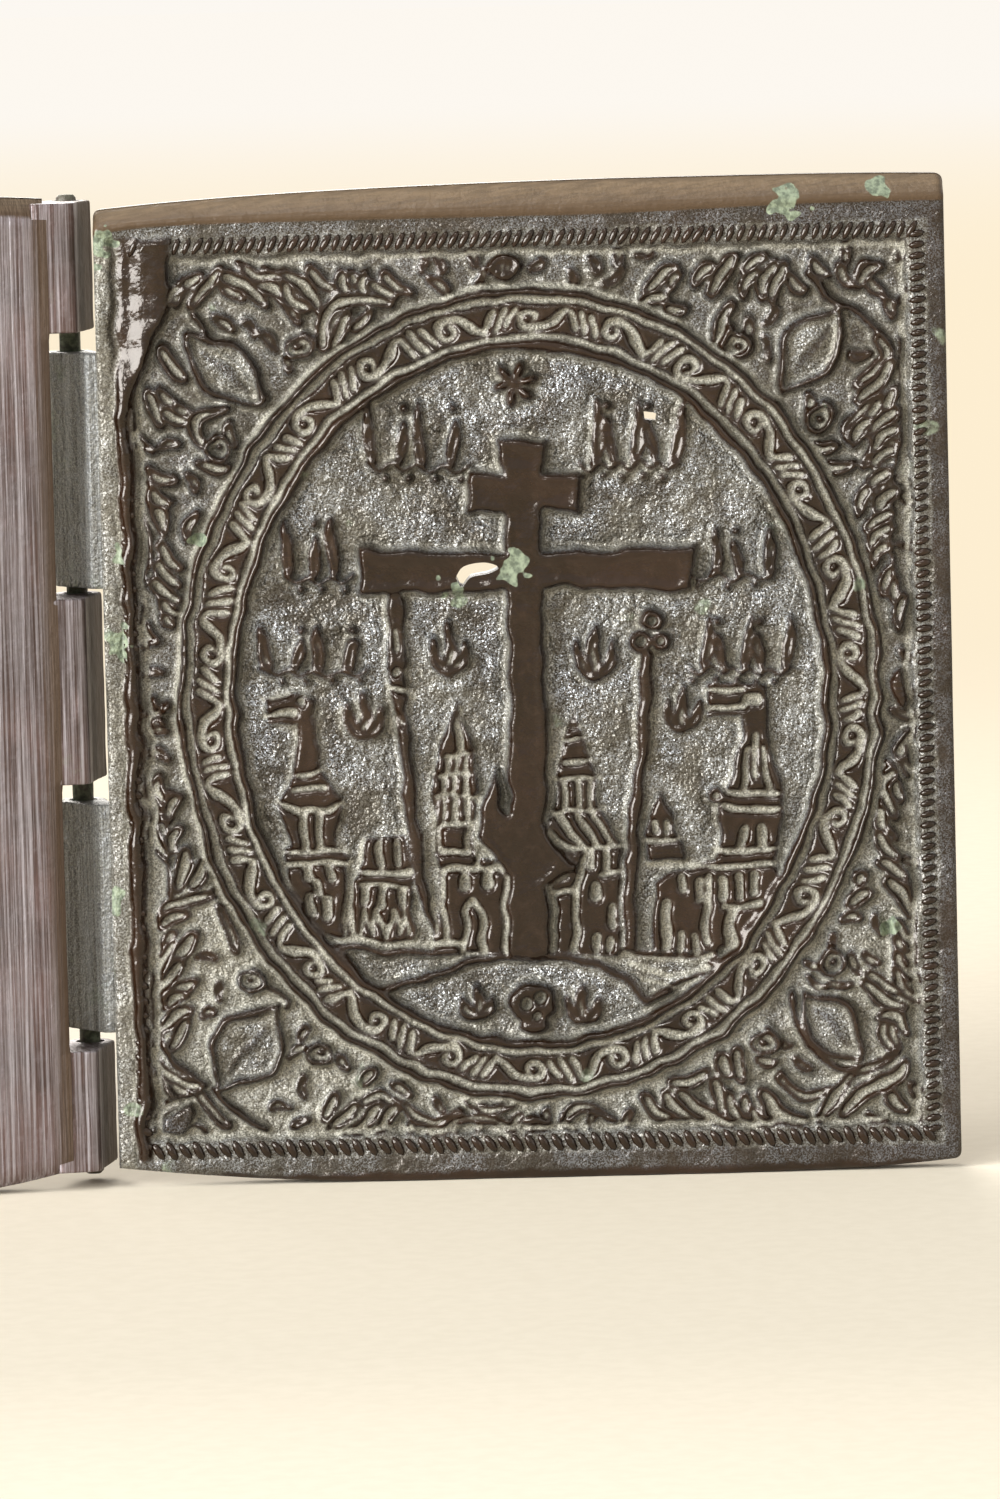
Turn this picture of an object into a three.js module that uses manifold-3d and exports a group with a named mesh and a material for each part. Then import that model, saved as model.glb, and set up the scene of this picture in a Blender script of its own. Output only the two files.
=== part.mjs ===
// Folding bronze icon with three leaves, standing open, in millimetres, +Z up.
// The origin is on the floor under the middle of the centre leaf. The leaves show their backs
// toward -Y and their figures toward +Y. The cover leaf, on +X, carries the cross relief on its
// back and closes last. The inner leaf, on -X, closes first, between the other two.

import * as THREE from 'three';
import { mergeVertices } from 'three/addons/utils/BufferGeometryUtils.js';
import Module from 'manifold-3d';

const wasm = await Module();
wasm.setup();

// Driving dimensions: the leaves
const leafHeight = 65;
const leafThickness = 3.4;
const coverWidth = 55;
const centreWidth = 54;
const innerWidth = 53;
const closedGap = 0.4;

// Driving dimensions: the hinges
const pinRadius = 0.7;
const boreClearance = 0.25;
const knuckleWall = 0.65;
const coverLeafSetback = 1.9;
const coverSideSetback = 2.5;
const innerSideSetback = 2.0;
const knuckleLip = 0.2;
const knuckleRound = 0.9;
const webInset = 0.08;
const recessedWeb = 1.5;
const pinStart = 0.35;
const pinOverrun = 0.4;
const pinChamfer = 0.2;
const knuckleStart = 1.2;
const knuckleEndMargin = 0.7;
const bottomGap = 1.0;
const lowerGap = 1.5;
const upperGap = 0.5;
const topGap = 1.4;

// Driving dimensions: the stance, in degrees
const coverBackBend = 12;
const innerFold = 20;

// Driving dimensions: the wear of each leaf's outline, and its bevels
const hingeTopWear = 1.2;
const hingeBottomWear = 1.3;
const freeTopWear = 0.15;
const freeBottomWear = 0.6;
const cornerRadius = 0.6;
const bevelDepth = 2.0;
const bevelHingeHeight = 1.2;
const bevelFreeHeight = 2.0;
const lowBevel = 0.5;

// Driving dimensions: the relief on the back of the cover leaf
const groundDepth = 0.95;
const ledgeDepth = 0.35;
const ledgeWidth = 1.1;
const ropeWidth = 1.4;
const medallionHalfWidth = 22.7;
const medallionHalfHeight = 26.3;
const ringRidge = 0.75;
const friezeWidth = 2.1;
const friezeDepth = 0.55;
const reliefDepth = 0.25;
const lowReliefDepth = 0.45;
const reliefRoot = 0.25;
const budLength = 5.8;
const budWidth = 3.4;
const rosetteRadius = 1.4;
const skullRadius = 1.7;
const poleWidth = 0.85;
const trefoilRadius = 0.8;

// Driving dimensions: the front of every leaf
const rimWidth = 2.4;
const topRimHeight = 4.5;
const frontDepth = 1.15;
const figureDepth = 0.3;
const haloDepth = 0.7;
const figureHeight = 50;
const figureWidth = 14;
const haloRadius = 5.0;
const headRadius = 2.3;
const strandHeight = 4.2;
const archDepth = 0.45;
const archWidth = 1.3;

// Worked out from the driving dimensions
const overrun = leafThickness;
const knuckleRadius = pinRadius + boreClearance + knuckleWall;
const coverAxisForward = (leafThickness + 2 * closedGap) / 2;
const innerAxisForward = closedGap / 2;
const arcSteps = 10;
const ringSteps = 64;

// Turns a closed geometry into a solid that can be joined and cut.
function solidOf(geometry) {
  geometry.deleteAttribute('normal');
  geometry.deleteAttribute('uv');
  const merged = mergeVertices(geometry.index ? geometry.toNonIndexed() : geometry, 1e-5);
  const mesh = new wasm.Mesh({
    numProp: 3,
    vertProperties: new Float32Array(merged.attributes.position.array),
    triVerts: new Uint32Array(merged.index.array),
  });
  return new wasm.Manifold(mesh);
}

function geometryOf(solid) {
  const mesh = solid.getMesh();
  const geometry = new THREE.BufferGeometry();
  geometry.setAttribute('position', new THREE.BufferAttribute(mesh.vertProperties, 3));
  geometry.setIndex(new THREE.BufferAttribute(mesh.triVerts, 1));
  geometry.computeVertexNormals();
  return geometry;
}

function joined(solids) {
  return solids.reduce((whole, piece) => whole.add(piece));
}

// Extrudes a shape drawn across the leaf and up it, from the back depth to the front depth.
function slab(shape, yBack, yFront, curveSegments = arcSteps) {
  const depth = yFront - yBack;
  const geometry = new THREE.ExtrudeGeometry(shape, { depth, bevelEnabled: false, curveSegments });
  geometry.rotateX(Math.PI / 2);
  geometry.translate(0, yFront, 0);
  return solidOf(geometry);
}

// Extrudes a section drawn on the floor plane between two heights.
function upright(shape, zLow, zHigh, curveSegments = arcSteps) {
  const depth = zHigh - zLow;
  const geometry = new THREE.ExtrudeGeometry(shape, { depth, bevelEnabled: false, curveSegments });
  geometry.translate(0, 0, zLow);
  return solidOf(geometry);
}

// Joins two triangles, each given anticlockwise as seen from +X, into a tapered prism along X.
function taperedPrism(startRing, endRing) {
  const corners = [...startRing, ...endRing];
  const faces = [[0, 2, 1], [3, 4, 5]];
  for (let i = 0; i < 3; i += 1) {
    const next = (i + 1) % 3;
    faces.push([i, next, next + 3], [i, next + 3, i + 3]);
  }
  const geometry = new THREE.BufferGeometry();
  geometry.setAttribute('position', new THREE.Float32BufferAttribute(corners.flat(), 3));
  geometry.setIndex(faces.flat());
  return solidOf(geometry);
}

function polygon(points) {
  return new THREE.Shape(points.map(([x, y]) => new THREE.Vector2(x, y)));
}

function ellipse(x, z, halfWidth, halfHeight, turn = 0) {
  const shape = new THREE.Shape();
  shape.absellipse(x, z, halfWidth, halfHeight, 0, 2 * Math.PI, false, turn);
  return shape;
}

function ellipseRing(x, z, halfWidth, halfHeight, width) {
  const ring = ellipse(x, z, halfWidth, halfHeight);
  ring.holes.push(ellipse(x, z, halfWidth - width, halfHeight - width));
  return ring;
}

function rectangle(left, right, low, high) {
  return polygon([[left, low], [right, low], [right, high], [left, high]]);
}

// The worn outline of a leaf from its hinge side, at 0, to its free side, at its width.
const wearShoulderShare = 0.1;
const flatShares = { bottomStart: 0.35, bottomEnd: 0.7, topStart: 0.6, topEnd: 0.8 };
const topPullShare = 0.17;

function leafOutline(width, height, hingeTop, hingeBottom) {
  const shoulder = wearShoulderShare * width;
  const outline = new THREE.Shape();
  outline.moveTo(0, hingeBottom);
  outline.quadraticCurveTo(2 * shoulder, 0, flatShares.bottomStart * width, 0);
  outline.lineTo(flatShares.bottomEnd * width, 0);
  outline.quadraticCurveTo(width - shoulder, 0, width - cornerRadius, freeBottomWear);
  outline.quadraticCurveTo(width, freeBottomWear, width, freeBottomWear + cornerRadius);
  outline.lineTo(width, height - freeTopWear - cornerRadius);
  outline.quadraticCurveTo(width, height - freeTopWear, width - cornerRadius, height - freeTopWear);
  outline.quadraticCurveTo(width - shoulder, height, flatShares.topEnd * width, height);
  outline.lineTo(flatShares.topStart * width, height);
  outline.quadraticCurveTo(2 * shoulder, height - topPullShare * hingeTop, cornerRadius, height - hingeTop);
  outline.quadraticCurveTo(0, height - hingeTop, 0, height - hingeTop - cornerRadius);
  return outline;
}

// The centre leaf has a hinge on both sides, so both of its sides are worn alike.
function centreOutline(left, right, height) {
  const shoulder = wearShoulderShare * (right - left);
  const topWear = hingeTopWear / 3;
  const outline = new THREE.Shape();
  outline.moveTo(left, hingeBottomWear);
  outline.quadraticCurveTo(left + shoulder, 0, left + 2 * shoulder, 0);
  outline.lineTo(right - 2 * shoulder, 0);
  outline.quadraticCurveTo(right - shoulder, 0, right, hingeBottomWear);
  outline.lineTo(right, height - topWear);
  outline.quadraticCurveTo(right - shoulder, height, right - 2 * shoulder, height);
  outline.lineTo(left + 2 * shoulder, height);
  outline.quadraticCurveTo(left + shoulder, height, left, height - topWear);
  return outline;
}

// Cuts the sloping bevels along the top and bottom edges of a leaf's back.
function bevelled(plate, left, right, yBack, startHeight, endHeight, startWear, endWear) {
  const yFar = yBack + bevelDepth;
  const yNear = yBack - bevelDepth;
  const ring = (x, drop, wear) => {
    const top = leafHeight - wear;
    return [[x, yNear, top - 2 * drop], [x, yFar, top], [x, yNear, top + overrun]];
  };
  const startX = left - overrun;
  const endX = right + overrun;
  const cutTop = taperedPrism(ring(startX, startHeight, startWear), ring(endX, endHeight, endWear));
  const low = (x) => [[x, yBack - lowBevel, -lowBevel], [x, yBack + lowBevel, -lowBevel],
    [x, yBack - lowBevel, lowBevel * 2]];
  const cutLow = taperedPrism(low(startX), low(endX));
  return plate.subtract(cutTop).subtract(cutLow);
}

// Hinge sections, drawn round an axis at the drawing's origin. The leaf lies toward +X.
function circle(radius) {
  return ellipse(0, 0, radius, radius);
}

const webTurnShares = { near: -0.11, far: 0.86 };

function onKnuckle(turnShare) {
  const angle = turnShare * Math.PI;
  return [knuckleRadius * Math.cos(angle), knuckleRadius * Math.sin(angle)];
}

// A knuckle whose web fills the leaf's full thickness and ends in a rounded lip at the back.
function fullWeb(setback, yFront, yBack) {
  const root = setback + knuckleWall;
  const far = onKnuckle(1 - webTurnShares.near);
  const near = onKnuckle(1 - webTurnShares.far);
  const low = yBack + webInset;
  const web = new THREE.Shape();
  web.moveTo(root, yFront - webInset);
  web.lineTo(setback - webInset, yFront - webInset);
  web.lineTo(near[0], near[1]);
  web.lineTo(0, 0);
  web.lineTo(far[0], far[1]);
  web.lineTo(knuckleLip, low + knuckleRound);
  web.quadraticCurveTo(knuckleLip, low, knuckleLip + knuckleRound, low);
  web.lineTo(root, low);
  return web;
}

// A knuckle whose web lies below the back surface and slopes down to the barrel.
function slopingWeb(setback, yFront, yBack) {
  const root = setback + knuckleWall;
  const near = onKnuckle(1 - webTurnShares.far);
  return polygon([
    [root, yFront - webInset],
    [setback - webInset, yFront - webInset],
    near,
    [0, 0],
    onKnuckle(1 - 2 * webTurnShares.near),
    [setback - knuckleWall, yBack + recessedWeb],
    [root, yBack + recessedWeb],
  ]);
}

// The knuckles, from the lowest up, share the height that the margins and the gaps leave. The
// centre leaf has the first, third and last, and the wing has the two between them.
const knuckleShares = [0.135, 0.255, 0.206, 0.261, 0.143];
const knuckleGaps = [bottomGap, lowerGap, upperGap, topGap];
const knuckleTotal = knuckleGaps.reduce(
  (left, gap) => left - gap,
  leafHeight - knuckleStart - knuckleEndMargin,
);
let nextStart = knuckleStart;
const spans = knuckleShares.map((share, place) => {
  const low = nextStart;
  const high = low + share * knuckleTotal;
  nextStart = place < knuckleGaps.length ? high + knuckleGaps[place] : high;
  return [low, high];
});
const centreSpans = spans.filter((span, place) => place % 2 === 0);
const wingSpans = spans.filter((span, place) => place % 2 === 1);
const knuckleTop = nextStart;

function knuckles(heights, web) {
  const pieces = heights.flatMap(([low, high]) => [
    upright(circle(knuckleRadius), low, high, 2 * arcSteps),
    upright(web, low, high),
  ]);
  return joined(pieces);
}

function bore() {
  return upright(circle(pinRadius + boreClearance), -overrun, leafHeight + overrun, 2 * arcSteps);
}

function mirroredInX(solid) {
  return solid.mirror([1, 0, 0]);
}

// The front of a leaf: a raised rim round a sunk panel, with arches, a floor strip and figures.
const figureShares = [
  [0.30, 0.00], [0.34, 0.10], [0.37, 0.30], [0.46, 0.42], [0.50, 0.56], [0.42, 0.70], [0.24, 0.77],
  [0.09, 0.79], [0.09, 0.83],
];
const footShares = [[0.06, -0.03], [0.24, -0.03], [0.26, 0.02], [0.06, 0.02]];
const headHeightShare = 0.88;
const headTallShare = 1.3;
const armShares = [[0.00, 0.50], [0.30, 0.62], [0.26, 0.69], [0.00, 0.59]];

function figure(x, floor, yPanel, size) {
  const wide = figureWidth * size;
  const tall = figureHeight * size;
  const place = ([across, up]) => [x + across * wide, floor + up * tall];
  const otherSide = ([across, up]) => place([-across, up]);
  const robe = polygon([...figureShares.map(place), ...figureShares.map(otherSide).reverse()]);
  const feet = [polygon(footShares.map(place)), polygon(footShares.map(otherSide).reverse())];
  const arm = polygon(armShares.map(place));
  const headZ = floor + headHeightShare * tall;
  const yRoot = yPanel - reliefRoot;
  const yTop = yPanel + frontDepth - figureDepth;
  const yHalo = yPanel + frontDepth - haloDepth;
  return joined([
    slab(robe, yRoot, yTop - reliefRoot),
    ...feet.map((foot) => slab(foot, yRoot, yTop - reliefRoot)),
    slab(arm, yRoot, yTop),
    slab(ellipse(x, headZ, haloRadius * size, haloRadius * size), yRoot, yHalo, 2 * arcSteps),
    slab(ellipse(x, headZ, headRadius * size, headRadius * size * headTallShare), yRoot, yTop),
  ]);
}

const sideFigureShare = 0.92;
const figureSpreadShare = 0.315;
const archRiseShare = 0.42;

function dressedFront(plate, left, right, yFront, middleSize) {
  const innerLeft = left + rimWidth;
  const innerRight = right - rimWidth;
  const innerLow = rimWidth + hingeBottomWear;
  const innerHigh = leafHeight - topRimHeight;
  const yPanel = yFront - frontDepth;
  const middle = (left + right) / 2;
  const spread = figureSpreadShare * (innerRight - innerLeft);
  const floor = innerLow + strandHeight;
  const panel = rectangle(innerLeft, innerRight, innerLow, innerHigh);
  const yRoot = yPanel - reliefRoot;
  const strand = rectangle(innerLeft - reliefRoot, innerRight + reliefRoot, innerLow - reliefRoot, floor);
  const places = [[-spread, sideFigureShare], [0, middleSize], [spread, sideFigureShare]];
  const figures = places.map(([across, size]) => figure(middle + across, floor, yPanel, size));
  const inside = rectangle(innerLeft - reliefRoot, innerRight + reliefRoot, innerLow - reliefRoot,
    innerHigh + reliefRoot);
  const yArcade = yPanel + frontDepth - archDepth;
  const archHalf = (spread - archWidth) / 2;
  const archRise = archRiseShare * spread;
  const springing = innerHigh - archWidth / 2 - archRise;
  const strip = rectangle(innerLeft - reliefRoot, innerRight + reliefRoot, springing, innerHigh + reliefRoot);
  let arcade = slab(strip, yRoot, yArcade);
  places.forEach(([across]) => {
    const opening = ellipse(middle + across, springing, archHalf, archRise);
    arcade = arcade.subtract(slab(opening, yRoot - overrun, yFront, 2 * arcSteps));
  });
  const relief = joined([slab(strand, yRoot, yPanel + figureDepth), arcade, ...figures]);
  const clipped = relief.intersect(slab(inside, yRoot - overrun, yFront));
  return plate.subtract(slab(panel, yPanel, yFront + overrun)).add(clipped);
}

// The cover leaf's back relief, in shares of the oval medallion's half sizes from its centre.
const medallionXShare = 0.502;
const medallionZShare = 0.487;
const crossShares = [
  [-0.086, -0.640], [0.024, -0.640], [0.030, -0.420], [0.118, -0.392], [0.036, -0.305], [0.036, 0.268],
  [0.474, 0.258], [0.474, 0.360], [0.038, 0.358], [0.042, 0.456], [0.146, 0.452], [0.148, 0.550],
  [0.042, 0.552], [0.062, 0.638], [-0.086, 0.638], [-0.068, 0.552], [-0.170, 0.552], [-0.172, 0.458],
  [-0.066, 0.458], [-0.068, 0.362], [-0.482, 0.368], [-0.484, 0.264], [-0.068, 0.260], [-0.068, -0.234],
  [-0.164, -0.172], [-0.152, -0.301], [-0.069, -0.305],
];
const castingHoleShares = [
  [-0.207, 0.305], [-0.190, 0.277], [-0.167, 0.296], [-0.115, 0.305], [-0.080, 0.322], [-0.114, 0.337],
  [-0.166, 0.326],
];
const pinholeShares = [[0.340, 0.694], [0.343, 0.677], [0.374, 0.673], [0.378, 0.688]];
const hillShares = [
  [-0.520, -0.600], [-0.449, -0.690], [-0.276, -0.660], [-0.103, -0.622], [0.026, -0.618], [0.183, -0.650],
  [0.353, -0.750], [0.500, -0.650], [0.560, -0.640], [0.353, -0.800], [0.183, -0.700], [0.026, -0.668],
  [-0.103, -0.672], [-0.276, -0.710], [-0.449, -0.750],
];
const spearShares = [
  [-0.380, 0.246], [-0.412, 0.147], [-0.392, 0.100], [-0.404, 0.060], [-0.388, -0.003], [-0.320, -0.596],
  [-0.285, -0.596], [-0.356, -0.003], [-0.340, 0.060], [-0.366, 0.100], [-0.346, 0.146],
];
const poleShares = [[0.333, 0.100], [0.290, -0.420], [0.258, -0.615]];
const trefoilShares = [[0.355, 0.185], [0.319, 0.128], [0.376, 0.130]];
const buildingShares = {
  columnTower: [
    [-0.753, -0.009], [-0.668, -0.056], [-0.689, -0.182], [-0.731, -0.243], [-0.705, -0.363], [-0.723, -0.382],
    [-0.662, -0.580], [-0.547, -0.583], [-0.528, -0.387], [-0.579, -0.366], [-0.547, -0.242], [-0.608, -0.171],
    [-0.628, -0.056], [-0.621, 0.003],
  ],
  lowWall: [
    [-0.547, -0.595], [-0.361, -0.600], [-0.351, -0.426], [-0.372, -0.341], [-0.480, -0.338], [-0.528, -0.422],
  ],
  gateTower: [
    [-0.214, -0.001], [-0.272, -0.142], [-0.295, -0.246], [-0.279, -0.316], [-0.281, -0.385], [-0.270, -0.418],
    [-0.275, -0.627], [-0.090, -0.632], [-0.090, -0.423], [-0.183, -0.388], [-0.182, -0.318], [-0.157, -0.249],
    [-0.169, -0.144],
  ],
  tieredTower: [
    [0.118, -0.036], [0.087, -0.113], [0.068, -0.212], [0.050, -0.287], [0.046, -0.460], [0.046, -0.634],
    [0.227, -0.640], [0.242, -0.378], [0.186, -0.285], [0.166, -0.165],
  ],
  smallSpire: [[0.365, -0.239], [0.319, -0.380], [0.327, -0.470], [0.419, -0.470], [0.434, -0.383]],
  flagTower: [
    [0.502, 0.020], [0.502, -0.038], [0.600, -0.060], [0.560, -0.249], [0.531, -0.288], [0.534, -0.385],
    [0.511, -0.417], [0.346, -0.468], [0.328, -0.637], [0.673, -0.626], [0.763, -0.429], [0.701, -0.390],
    [0.720, -0.293], [0.709, -0.252], [0.672, 0.016],
  ],
};
const rosetteShares = [-0.021, 0.771];
const skullShares = [-0.020, -0.760];
const budShares = [
  { across: -0.841, up: 0.827, turn: -0.27 },
  { across: 0.825, up: 0.857, turn: 0.27 },
  { across: -0.841, up: -0.861, turn: 0.27 },
  { across: 0.849, up: -0.843, turn: -0.27 },
];
const leafSprayShares = [
  { across: -0.98, up: 0.50, turn: 0.42 }, { across: -1.04, up: 0.20, turn: 0.46 },
  { across: -0.95, up: -0.42, turn: 0.56 }, { across: -0.98, up: -0.66, turn: 0.60 },
  { across: 1.00, up: 0.50, turn: 0.58 }, { across: 1.04, up: 0.20, turn: 0.54 },
  { across: 1.03, up: -0.42, turn: 0.46 }, { across: 1.00, up: -0.64, turn: 0.42 },
  { across: -0.50, up: 1.03, turn: 0.08 }, { across: 0.50, up: 1.05, turn: -0.06 },
  { across: -0.45, up: -1.04, turn: -0.08 }, { across: 0.50, up: -1.04, turn: 0.08 },
];
const sprayLength = 7.0;
const sprayWidth = 1.5;

function coverRelief(xLeft, yBack) {
  const centreX = xLeft + medallionXShare * coverWidth;
  const centreZ = medallionZShare * leafHeight;
  const place = ([across, up]) => [centreX + across * medallionHalfWidth, centreZ + up * medallionHalfHeight];
  const yRoot = yBack + groundDepth + reliefRoot;
  const raised = (shape, depth, steps) => slab(shape, yBack + depth, yRoot, steps);
  const innerGap = ringRidge + friezeWidth;
  const pieces = [
    raised(ellipseRing(centreX, centreZ, medallionHalfWidth, medallionHalfHeight, ringRidge), reliefDepth, ringSteps),
    raised(ellipseRing(centreX, centreZ, medallionHalfWidth - ringRidge, medallionHalfHeight - ringRidge,
      friezeWidth), friezeDepth, ringSteps),
    raised(ellipseRing(centreX, centreZ, medallionHalfWidth - innerGap, medallionHalfHeight - innerGap,
      ringRidge), reliefDepth, ringSteps),
    raised(polygon(spearShares.map(place)), lowReliefDepth),
    raised(polygon(hillShares.map(place)), lowReliefDepth),
    raised(ellipse(...place(rosetteShares), rosetteRadius, rosetteRadius), lowReliefDepth),
    raised(ellipse(...place(skullShares), skullRadius, skullRadius), lowReliefDepth),
  ];
  Object.values(buildingShares).forEach((shares) => {
    pieces.push(raised(polygon(shares.map(place)), lowReliefDepth));
  });
  trefoilShares.map(place).forEach(([x, z]) => {
    pieces.push(raised(ellipse(x, z, trefoilRadius, trefoilRadius), lowReliefDepth));
  });
  const poleLine = poleShares.map(place);
  const poleSides = [
    ...poleLine.map(([x, z]) => [x - poleWidth / 2, z]),
    ...poleLine.map(([x, z]) => [x + poleWidth / 2, z]).reverse(),
  ];
  pieces.push(raised(polygon(poleSides), lowReliefDepth));
  budShares.forEach(({ across, up, turn }) => {
    const [x, z] = place([across, up]);
    pieces.push(raised(ellipse(x, z, budWidth / 2, budLength / 2, turn * Math.PI), lowReliefDepth));
  });
  leafSprayShares.forEach(({ across, up, turn }) => {
    const [x, z] = place([across, up]);
    pieces.push(raised(ellipse(x, z, sprayLength / 2, sprayWidth / 2, turn * Math.PI), lowReliefDepth));
  });
  pieces.push(raised(polygon(crossShares.map(place)), 0));
  const holes = [castingHoleShares, pinholeShares].map((shares) => polygon(shares.map(place)));
  return { relief: joined(pieces), holes };
}

// The cover leaf, drawn round its own hinge axis, flat and reaching toward +X.
function coverLeaf() {
  const left = coverLeafSetback;
  const right = left + coverWidth;
  const yFront = -coverAxisForward;
  const yBack = yFront - leafThickness;
  const outline = leafOutline(coverWidth, leafHeight, hingeTopWear, hingeBottomWear);
  let plate = slab(outline, yBack, yFront).translate([left, 0, 0]);
  plate = bevelled(plate, left, right, yBack, bevelHingeHeight, bevelFreeHeight, hingeTopWear, 0);
  const ropeBox = [
    left + ledgeWidth,
    right - ledgeWidth,
    ledgeWidth + hingeBottomWear / 2,
    leafHeight - ledgeWidth - bevelFreeHeight,
  ];
  const field = [ropeBox[0] + ropeWidth, ropeBox[1] - ropeWidth, ropeBox[2] + ropeWidth, ropeBox[3] - ropeWidth];
  const ledge = rectangle(left - overrun, right + overrun, -overrun, leafHeight + overrun);
  ledge.holes.push(rectangle(...ropeBox));
  plate = plate.subtract(slab(ledge, yBack - overrun, yBack + ledgeDepth));
  plate = plate.subtract(slab(rectangle(...field), yBack - overrun, yBack + groundDepth));
  const { relief, holes } = coverRelief(left, yBack);
  const bounds = rectangle(ropeBox[0] + reliefRoot, ropeBox[1] - reliefRoot, ropeBox[2] + reliefRoot,
    ropeBox[3] - reliefRoot);
  plate = plate.add(relief.intersect(slab(bounds, yBack - overrun, yFront)));
  plate = dressedFront(plate, left, right, yFront, 1);
  holes.forEach((hole) => {
    plate = plate.subtract(slab(hole, yBack - overrun, yFront + overrun));
  });
  return plate.add(knuckles(wingSpans, slopingWeb(coverLeafSetback, yFront, yBack))).subtract(bore());
}

// The inner leaf, drawn round its own hinge axis, flat and reaching toward -X.
function innerLeaf() {
  const left = innerSideSetback;
  const right = left + innerWidth;
  const yFront = -innerAxisForward;
  const yBack = yFront - leafThickness;
  const outline = leafOutline(innerWidth, leafHeight, hingeTopWear / 2, hingeBottomWear);
  let plate = slab(outline, yBack, yFront).translate([left, 0, 0]);
  plate = bevelled(plate, left, right, yBack, bevelHingeHeight, bevelHingeHeight, 0, 0);
  plate = dressedFront(plate, left, right, yFront, 1);
  plate = plate.add(knuckles(wingSpans, fullWeb(innerSideSetback, yFront, yBack)));
  return mirroredInX(plate.subtract(bore()));
}

// The centre leaf, drawn round the origin, with its knuckles reaching out on both sides.
const coverAxis = new THREE.Vector3(centreWidth / 2 + coverSideSetback, leafThickness / 2 + coverAxisForward, 0);
const innerAxis = new THREE.Vector3(-centreWidth / 2 - innerSideSetback, leafThickness / 2 + innerAxisForward, 0);

function centreLeaf() {
  const left = -centreWidth / 2;
  const right = centreWidth / 2;
  const yFront = leafThickness / 2;
  const yBack = -leafThickness / 2;
  let plate = slab(centreOutline(left, right, leafHeight), yBack, yFront);
  plate = bevelled(plate, left, right, yBack, bevelHingeHeight, bevelHingeHeight, 0, 0);
  plate = dressedFront(plate, left, right, yFront, 1 / sideFigureShare);
  const coverWeb = fullWeb(coverSideSetback, -coverAxisForward, -coverAxisForward - leafThickness);
  const innerWeb = fullWeb(innerSideSetback, -innerAxisForward, -innerAxisForward - leafThickness);
  const coverKnuckles = mirroredInX(knuckles(centreSpans, coverWeb).subtract(bore()));
  const innerKnuckles = knuckles(centreSpans, innerWeb).subtract(bore());
  return plate.add(coverKnuckles.translate(coverAxis.toArray())).add(innerKnuckles.translate(innerAxis.toArray()));
}

// A hinge pin of round wire, with chamfered ends.
function hingePin() {
  const top = knuckleTop + pinOverrun;
  const profile = [
    [0, pinStart],
    [pinRadius - pinChamfer, pinStart],
    [pinRadius, pinStart + pinChamfer],
    [pinRadius, top - pinChamfer],
    [pinRadius - pinChamfer, top],
    [0, top],
  ];
  const points = profile.map(([radius, z]) => new THREE.Vector2(radius, z));
  const geometry = new THREE.LatheGeometry(points, 2 * arcSteps);
  geometry.rotateX(Math.PI / 2);
  return geometryOf(solidOf(geometry));
}

const darkBronze = { color: 0x3f3129, roughness: 0.38, metalness: 0.75 };
const filedBronze = { color: 0x5d433b, roughness: 0.45, metalness: 0.7 };
const pinBronze = { color: 0x4a382c, roughness: 0.5, metalness: 0.7 };

function named(name, geometry, finish) {
  const mesh = new THREE.Mesh(geometry, new THREE.MeshStandardMaterial(finish));
  mesh.name = name;
  return mesh;
}

const icon = new THREE.Group();

const coverWing = new THREE.Group();
coverWing.position.copy(coverAxis);
coverWing.rotation.z = THREE.MathUtils.degToRad(-coverBackBend);
coverWing.add(named('cover_leaf', geometryOf(coverLeaf()), darkBronze));

const innerWing = new THREE.Group();
innerWing.position.copy(innerAxis);
innerWing.rotation.z = THREE.MathUtils.degToRad(-innerFold);
innerWing.add(named('inner_leaf', geometryOf(innerLeaf()), filedBronze));

const coverPin = named('cover_hinge_pin', hingePin(), pinBronze);
coverPin.position.copy(coverAxis);
const innerPin = named('inner_hinge_pin', hingePin(), pinBronze);
innerPin.position.copy(innerAxis);

icon.add(named('centre_leaf', geometryOf(centreLeaf()), filedBronze), coverWing, innerWing, coverPin, innerPin);

export default icon;
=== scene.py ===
"""Folding bronze icon with three leaves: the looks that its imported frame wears."""

import logging
import math
from collections.abc import Callable, Iterable, Sequence
from dataclasses import dataclass, field
from enum import Enum

import bpy
import numpy as np
from mathutils import Matrix, Vector
from mathutils.geometry import tessellate_polygon


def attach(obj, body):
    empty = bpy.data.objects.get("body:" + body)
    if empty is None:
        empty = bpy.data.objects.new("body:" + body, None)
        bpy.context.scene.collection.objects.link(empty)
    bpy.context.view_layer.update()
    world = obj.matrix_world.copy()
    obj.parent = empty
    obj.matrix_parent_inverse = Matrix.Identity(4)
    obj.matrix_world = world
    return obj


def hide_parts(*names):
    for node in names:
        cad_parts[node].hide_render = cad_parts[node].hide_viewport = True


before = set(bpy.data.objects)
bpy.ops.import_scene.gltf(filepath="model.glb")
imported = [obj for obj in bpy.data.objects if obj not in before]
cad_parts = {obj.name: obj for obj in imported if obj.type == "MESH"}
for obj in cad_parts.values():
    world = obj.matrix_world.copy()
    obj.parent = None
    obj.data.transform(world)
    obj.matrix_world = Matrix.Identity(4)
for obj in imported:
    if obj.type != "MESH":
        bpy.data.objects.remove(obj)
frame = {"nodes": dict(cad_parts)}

LOG = logging.getLogger("folding_icon")
MM = 0.001
SEED = 41
ROUND = 2 * math.pi
CLEAN = {"dust": 0.0, "grain": 0.0}
Point = tuple[float, float]
Place = tuple[float, float, float]
Colour = tuple[float, float, float]
Socket = bpy.types.NodeSocket
DepthField = Callable[[np.ndarray, np.ndarray], np.ndarray]
LayerField = Callable[[np.ndarray, np.ndarray], dict[str, np.ndarray]]
SideRule = Callable[[np.ndarray], np.ndarray]


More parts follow.
